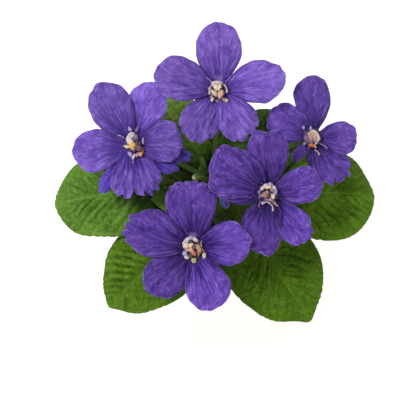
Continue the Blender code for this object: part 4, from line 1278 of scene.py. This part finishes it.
def make_stalk(flower, finish):
    """Flower stalk with its green cup, its sepals and the receptacle pin between the petals."""
    facing = flower_axes(flower)[2]
    centre = Vector(flower.centre)
    outward = Vector((centre.x, centre.y, 0.0)).normalized()
    start = outward * STALK_SPREAD + Vector((0.0, 0.0, CROWN_TOP + GAP + STALK_SEAT))
    under_petals = HALF_SOLID_PETAL + GAP
    end = centre - facing * (under_petals + CALYX_DEPTH)
    centres = bent_path(start, outward * 0.3 + Vector((0.0, 0.0, 1.0)), 0.4, end, facing, STALK_RINGS)
    radii = [STALK_RADIUS * (1.15 - 0.3 * t) for t in steps(STALK_RINGS)]
    for share, width in CALYX_PROFILE:
        centres.append(centre - facing * (under_petals + CALYX_DEPTH * share))
        radii.append(CALYX_RADIUS * width)
    pin = ((under_petals - 0.05, 1.0), (0.0, 0.95), (-RECEPTACLE_TOP * 0.7, 0.85), (-RECEPTACLE_TOP, 0.7))
    for depth, width in pin:
        centres.append(centre - facing * depth)
        radii.append(RECEPTACLE_RADIUS * width)
    points, faces, along, angle = tube(centres, radii, STALK_SIDES)
    points += 0.04 * wander(points, 1.0, 9)[:, None]
    shape = Shape(points, faces, along=along * 3.0, turn=angle / 3.0)
    for i in range(SEPALS):
        add_sepal(shape, flower, SEPAL_TURN + 360 / SEPALS * i, seed=i)
    shape.make(f"stalk_{flower.name}_green", finish, [f"stalk_{flower.name}"])


def add_sepal(shape, flower, degrees, seed):
    """A narrow pointed sepal that leaves the calyx under the petals."""
    angle = circle(SEPAL_POINTS)
    share = 0.5 + 0.5 * np.cos(angle)
    half = np.sin(math.pi * np.clip(share, 0.0, 1.0) ** 0.75) ** 0.8
    outline = np.stack([SEPAL_START + SEPAL_LENGTH * share, half * np.sign(np.sin(angle))], 1)
    middle = np.array([SEPAL_MIDDLE, 0.0])
    x, y, rim, side, faces = blade(outline, middle, SEPAL_RINGS, SEPAL_UNDER_RINGS)
    reach = (x - SEPAL_START) / SEPAL_LENGTH
    drop = LOW_SEPAL_DROPS.get(flower.name, SEPAL_DROP)
    drop = drop + SEPAL_BEND * reach ** 1.5 + SEPAL_ARCH * y ** 2
    height = SEPAL_THICKNESS / 2 * side * (1.0 - rim ** 3) - drop
    points = placed(flower.centre, x, y, height, *turned_axes(flower, degrees))
    shape.add(points, faces, along=reach + seed, turn=y * 0.3)


def add_cushion(shape, centre, axes, colour, seed):
    """The raised throat on which the anthers sit, painted dark as the shade between them."""
    points, faces = turned([(CUSHION_RADIUS * r, z) for r, z in CUSHION_PROFILE], CUSHION_SIDES)
    out = np.hypot(points[:, 0], points[:, 1]) / CUSHION_RADIUS
    points[:, :2] *= (1.0 + 0.22 * wander(points[:, :2] / (out + 0.3)[:, None], 3.0, seed + 40))[:, None]
    points[:, 2] += 0.35 * wander(points, 1.0, seed + 41) * (points[:, 2] > 1.0)
    tone = blend(rgb(CUSHION_SHADOW), rgb(colour), smooth(0.35, 0.95, out))
    shape.add(centre + points @ axes, faces, tone=tone)


def add_lobe(shape, centre, axes, lump, seed):
    """One rounded lobe with a crease along it, with painted shade on its sides and in the crease and a
    painted highlight on its top.
    """
    points, faces = ball(LUMP_SIDES, LUMP_RINGS)
    up = points[:, 2]
    bend = 0.25 * wander(points, 1.3, seed + 7)
    crease = hump(points[:, 1] + bend, 0.16) * smooth(-0.2, 0.5, up)
    swell = 1.0 + 0.24 * wander(points, 0.7, seed) - 0.12 * crease
    # painted shade on the sides and in the crease, painted highlight on the top
    shade = LOBE_EDGE + (1.1 - LOBE_EDGE) * smooth(-0.1, 0.8, up) - 0.2 * crease
    half = np.array([lump.length, lump.width, lump.width]) * LOBE_HALVES
    points = points * swell[:, None] * half
    points[:, 1] *= 1.0 - lump.taper * smooth(-0.5, 1.0, points[:, 0] / half[0])
    x, y = spun(points[:, 0], points[:, 1], math.radians(lump.turn))
    local = np.stack([x + lump.x, y + lump.y, points[:, 2] + lump.height - LOBE_SINK], 1)
    lit, flank = (np.outer(part, rgb(colour)) for part, colour in (
        (shade, lump.colour), (np.clip(1.0 - shade, 0.0, 1.0), FLANK)))
    shape.add(centre + local @ axes, faces, tone=lit + flank)


def add_thread(shape, centre, axes, thread):
    """One bowed stamen thread, thicker and lighter at its end."""
    start, end = Vector(thread.start), Vector(thread.end)
    side = Vector((end.y - start.y, start.x - end.x, 0.0)).normalized()
    rise = side * thread.bow + Vector((0.0, 0.0, 0.5 * abs(thread.bow)))
    shares = steps(THREAD_RINGS)
    path = [start.lerp(end, t) + rise * math.sin(math.pi * t) for t in shares]
    radii = [thread.radius * (0.8 + 0.6 * t ** 6) for t in shares]
    points, faces, along, _ = tube(path, radii, THREAD_SIDES)
    shape.add(centre + points @ axes, faces, tone=np.outer(0.75 + 0.25 * along, rgb(thread.colour)))


def make_anthers(flower, finish, seed):
    """The lobed anthers, beads and threads in the middle of a flower."""
    shape = Shape()
    where = np.array(flower.centre), np.array(flower_axes(flower))
    add_cushion(shape, *where, PETAL_COLOURS[flower.name][3], seed)
    for i, row in enumerate(CENTRES[flower.name]):
        add_lobe(shape, *where, Lump(*row), seed * 20 + i)
    for row in THREADS[flower.name]:
        add_thread(shape, *where, Thread(*row))
    shape.make(f"anthers_{flower.name}_lobes", finish, [f"anthers_{flower.name}"])


def make_bud(bud):
    """A closed bud on its own short stalk: green below, petal colour above, with folded ribs."""
    start = Vector((*bud.foot, CROWN_TOP + GAP + BUD_SEAT))
    end = Vector(bud.tip)
    shares = steps(BUD_RINGS)
    centres = [start.lerp(end, t) + Vector((0.0, 0.0, BUD_BOW)) * math.sin(math.pi * t) for t in shares]
    radii = [bud.radius * width_at(BUD_PROFILE, t) for t in shares]
    points, faces, along, angle = tube(centres, radii, BUD_SIDES)
    spine = np.concatenate([np.repeat(np.array(centres), BUD_SIDES, 0), np.array([centres[0], centres[-1]])])
    ribs = BUD_RIBS * np.cos(5 * angle + 6.0 * along) * smooth(0.66, 0.8, along)
    points = spine + (points - spine) * (1.0 + ribs)[:, None]
    below, above, top = (rgb(colour) for colour in bud.colours)
    tone = blend(blend(below, above, smooth(0.70, 0.80, along)), top, 0.8 * smooth(0.93, 1.0, along))
    finish = toned_finish(bud.finish, 0.55, 1.5, 0.2)
    Shape(points, faces, tone=tone).make(f"{bud.name}_closed", finish, [bud.name])


# ---------------- camera, floor and light

VIEW_ELEVATION = math.radians(65.0)
VIEW_WIDTH = 147.0              # millimetres across the frame at the view's target
VIEW_TARGET = (-1.05, -15.5, 64.6)
VIEW_LENS = 400.0
SENSOR = 36.0
FLOOR_WIDTH = 6000.0
HORIZON_LIGHT = 1.0
ZENITH_LIGHT = 0.42
KEY_POWER = 6.5                 # watts
KEY_SIZE = 0.30                 # metres, like its place and its target
KEY_PLACE = (-0.45, -0.05, 0.95)
KEY_TARGET = (0.0, 0.0, 0.06)


def turn_to(away):
    """The turn of a camera or lamp that looks against a direction."""
    return away.to_track_quat("Z", "Y").to_euler()


def make_camera():
    lens = bpy.data.cameras.new("camera")
    lens.lens = VIEW_LENS
    lens.sensor_width = SENSOR
    lens.clip_end = 10.0
    away = Vector((0.0, -math.cos(VIEW_ELEVATION), math.sin(VIEW_ELEVATION)))
    camera = add_object("camera", lens)
    camera.location = (Vector(VIEW_TARGET) + away * VIEW_WIDTH * VIEW_LENS / SENSOR) * MM
    camera.rotation_euler = turn_to(away)
    bpy.context.scene.camera = camera


def make_floor():
    half = FLOOR_WIDTH / 2
    corners = [(-half, -half, 0.0), (half, -half, 0.0), (half, half, 0.0), (-half, half, 0.0)]
    mesh = new_mesh("floor", corners, [(0, 1, 2, 3)])
    finish = Finish("floor", Roughness=0.9, Base_Color=(0.5, 0.5, 0.5, 1.0),
                    Emission_Color=(1.0, 1.0, 1.0, 1.0), Emission_Strength=0.8)
    mesh.materials.append(finish.material)
    floor = add_object("floor", mesh)


def make_studio():
    """A white studio that is brightest round its horizon, with a soft key light from the upper left."""
    world = bpy.data.worlds.new("studio")
    world.use_nodes = True
    tree = world.node_tree
    split = tree.nodes.new("ShaderNodeSeparateXYZ")
    tree.links.new(tree.nodes.new("ShaderNodeTexCoord").outputs["Generated"], split.inputs[0])
    fade = tree.nodes.new("ShaderNodeMapRange")
    for number, value in enumerate((0.12, 0.45, HORIZON_LIGHT, ZENITH_LIGHT), start=1):
        fade.inputs[number].default_value = value
    tree.links.new(split.outputs[2], fade.inputs[0])
    background = tree.nodes["Background"]
    background.inputs["Color"].default_value = (1.0, 1.0, 1.0, 1.0)
    tree.links.new(fade.outputs[0], background.inputs["Strength"])
    bpy.context.scene.world = world
    lamp = bpy.data.lights.new("key", "AREA")
    lamp.size = KEY_SIZE
    lamp.energy = KEY_POWER
    light = add_object("key", lamp)
    light.location = KEY_PLACE
    light.rotation_euler = turn_to(Vector(KEY_PLACE) - Vector(KEY_TARGET))
    bpy.context.scene.view_settings.view_transform = "Standard"
    make_floor()


# ---------------- the whole plant

make_camera()
make_studio()
stem = stem_finish()
make_pot()
make_soil()
make_crown(stem)
for number, leaf in enumerate(LEAVES):
    make_leaf(leaf, seed=number + 1)
anther = toned_finish("anther", 0.5, 1.8, 0.16)
extra_petal = petal_finish("petal_extra", EXTRA_COLOURS)
for number, flower in enumerate(FLOWERS):
    make_stalk(flower, stem)
    make_anthers(flower, anther, seed=number)
    velvet = petal_finish(f"petal_{flower.name}", PETAL_COLOURS[flower.name])
    for place, petal in enumerate(flower.petals):
        make_petal(flower, petal, extra_petal if petal.layer < 0 else velvet, seed=number * 10 + place + 1)
for bud in BUDS:
    make_bud(bud)
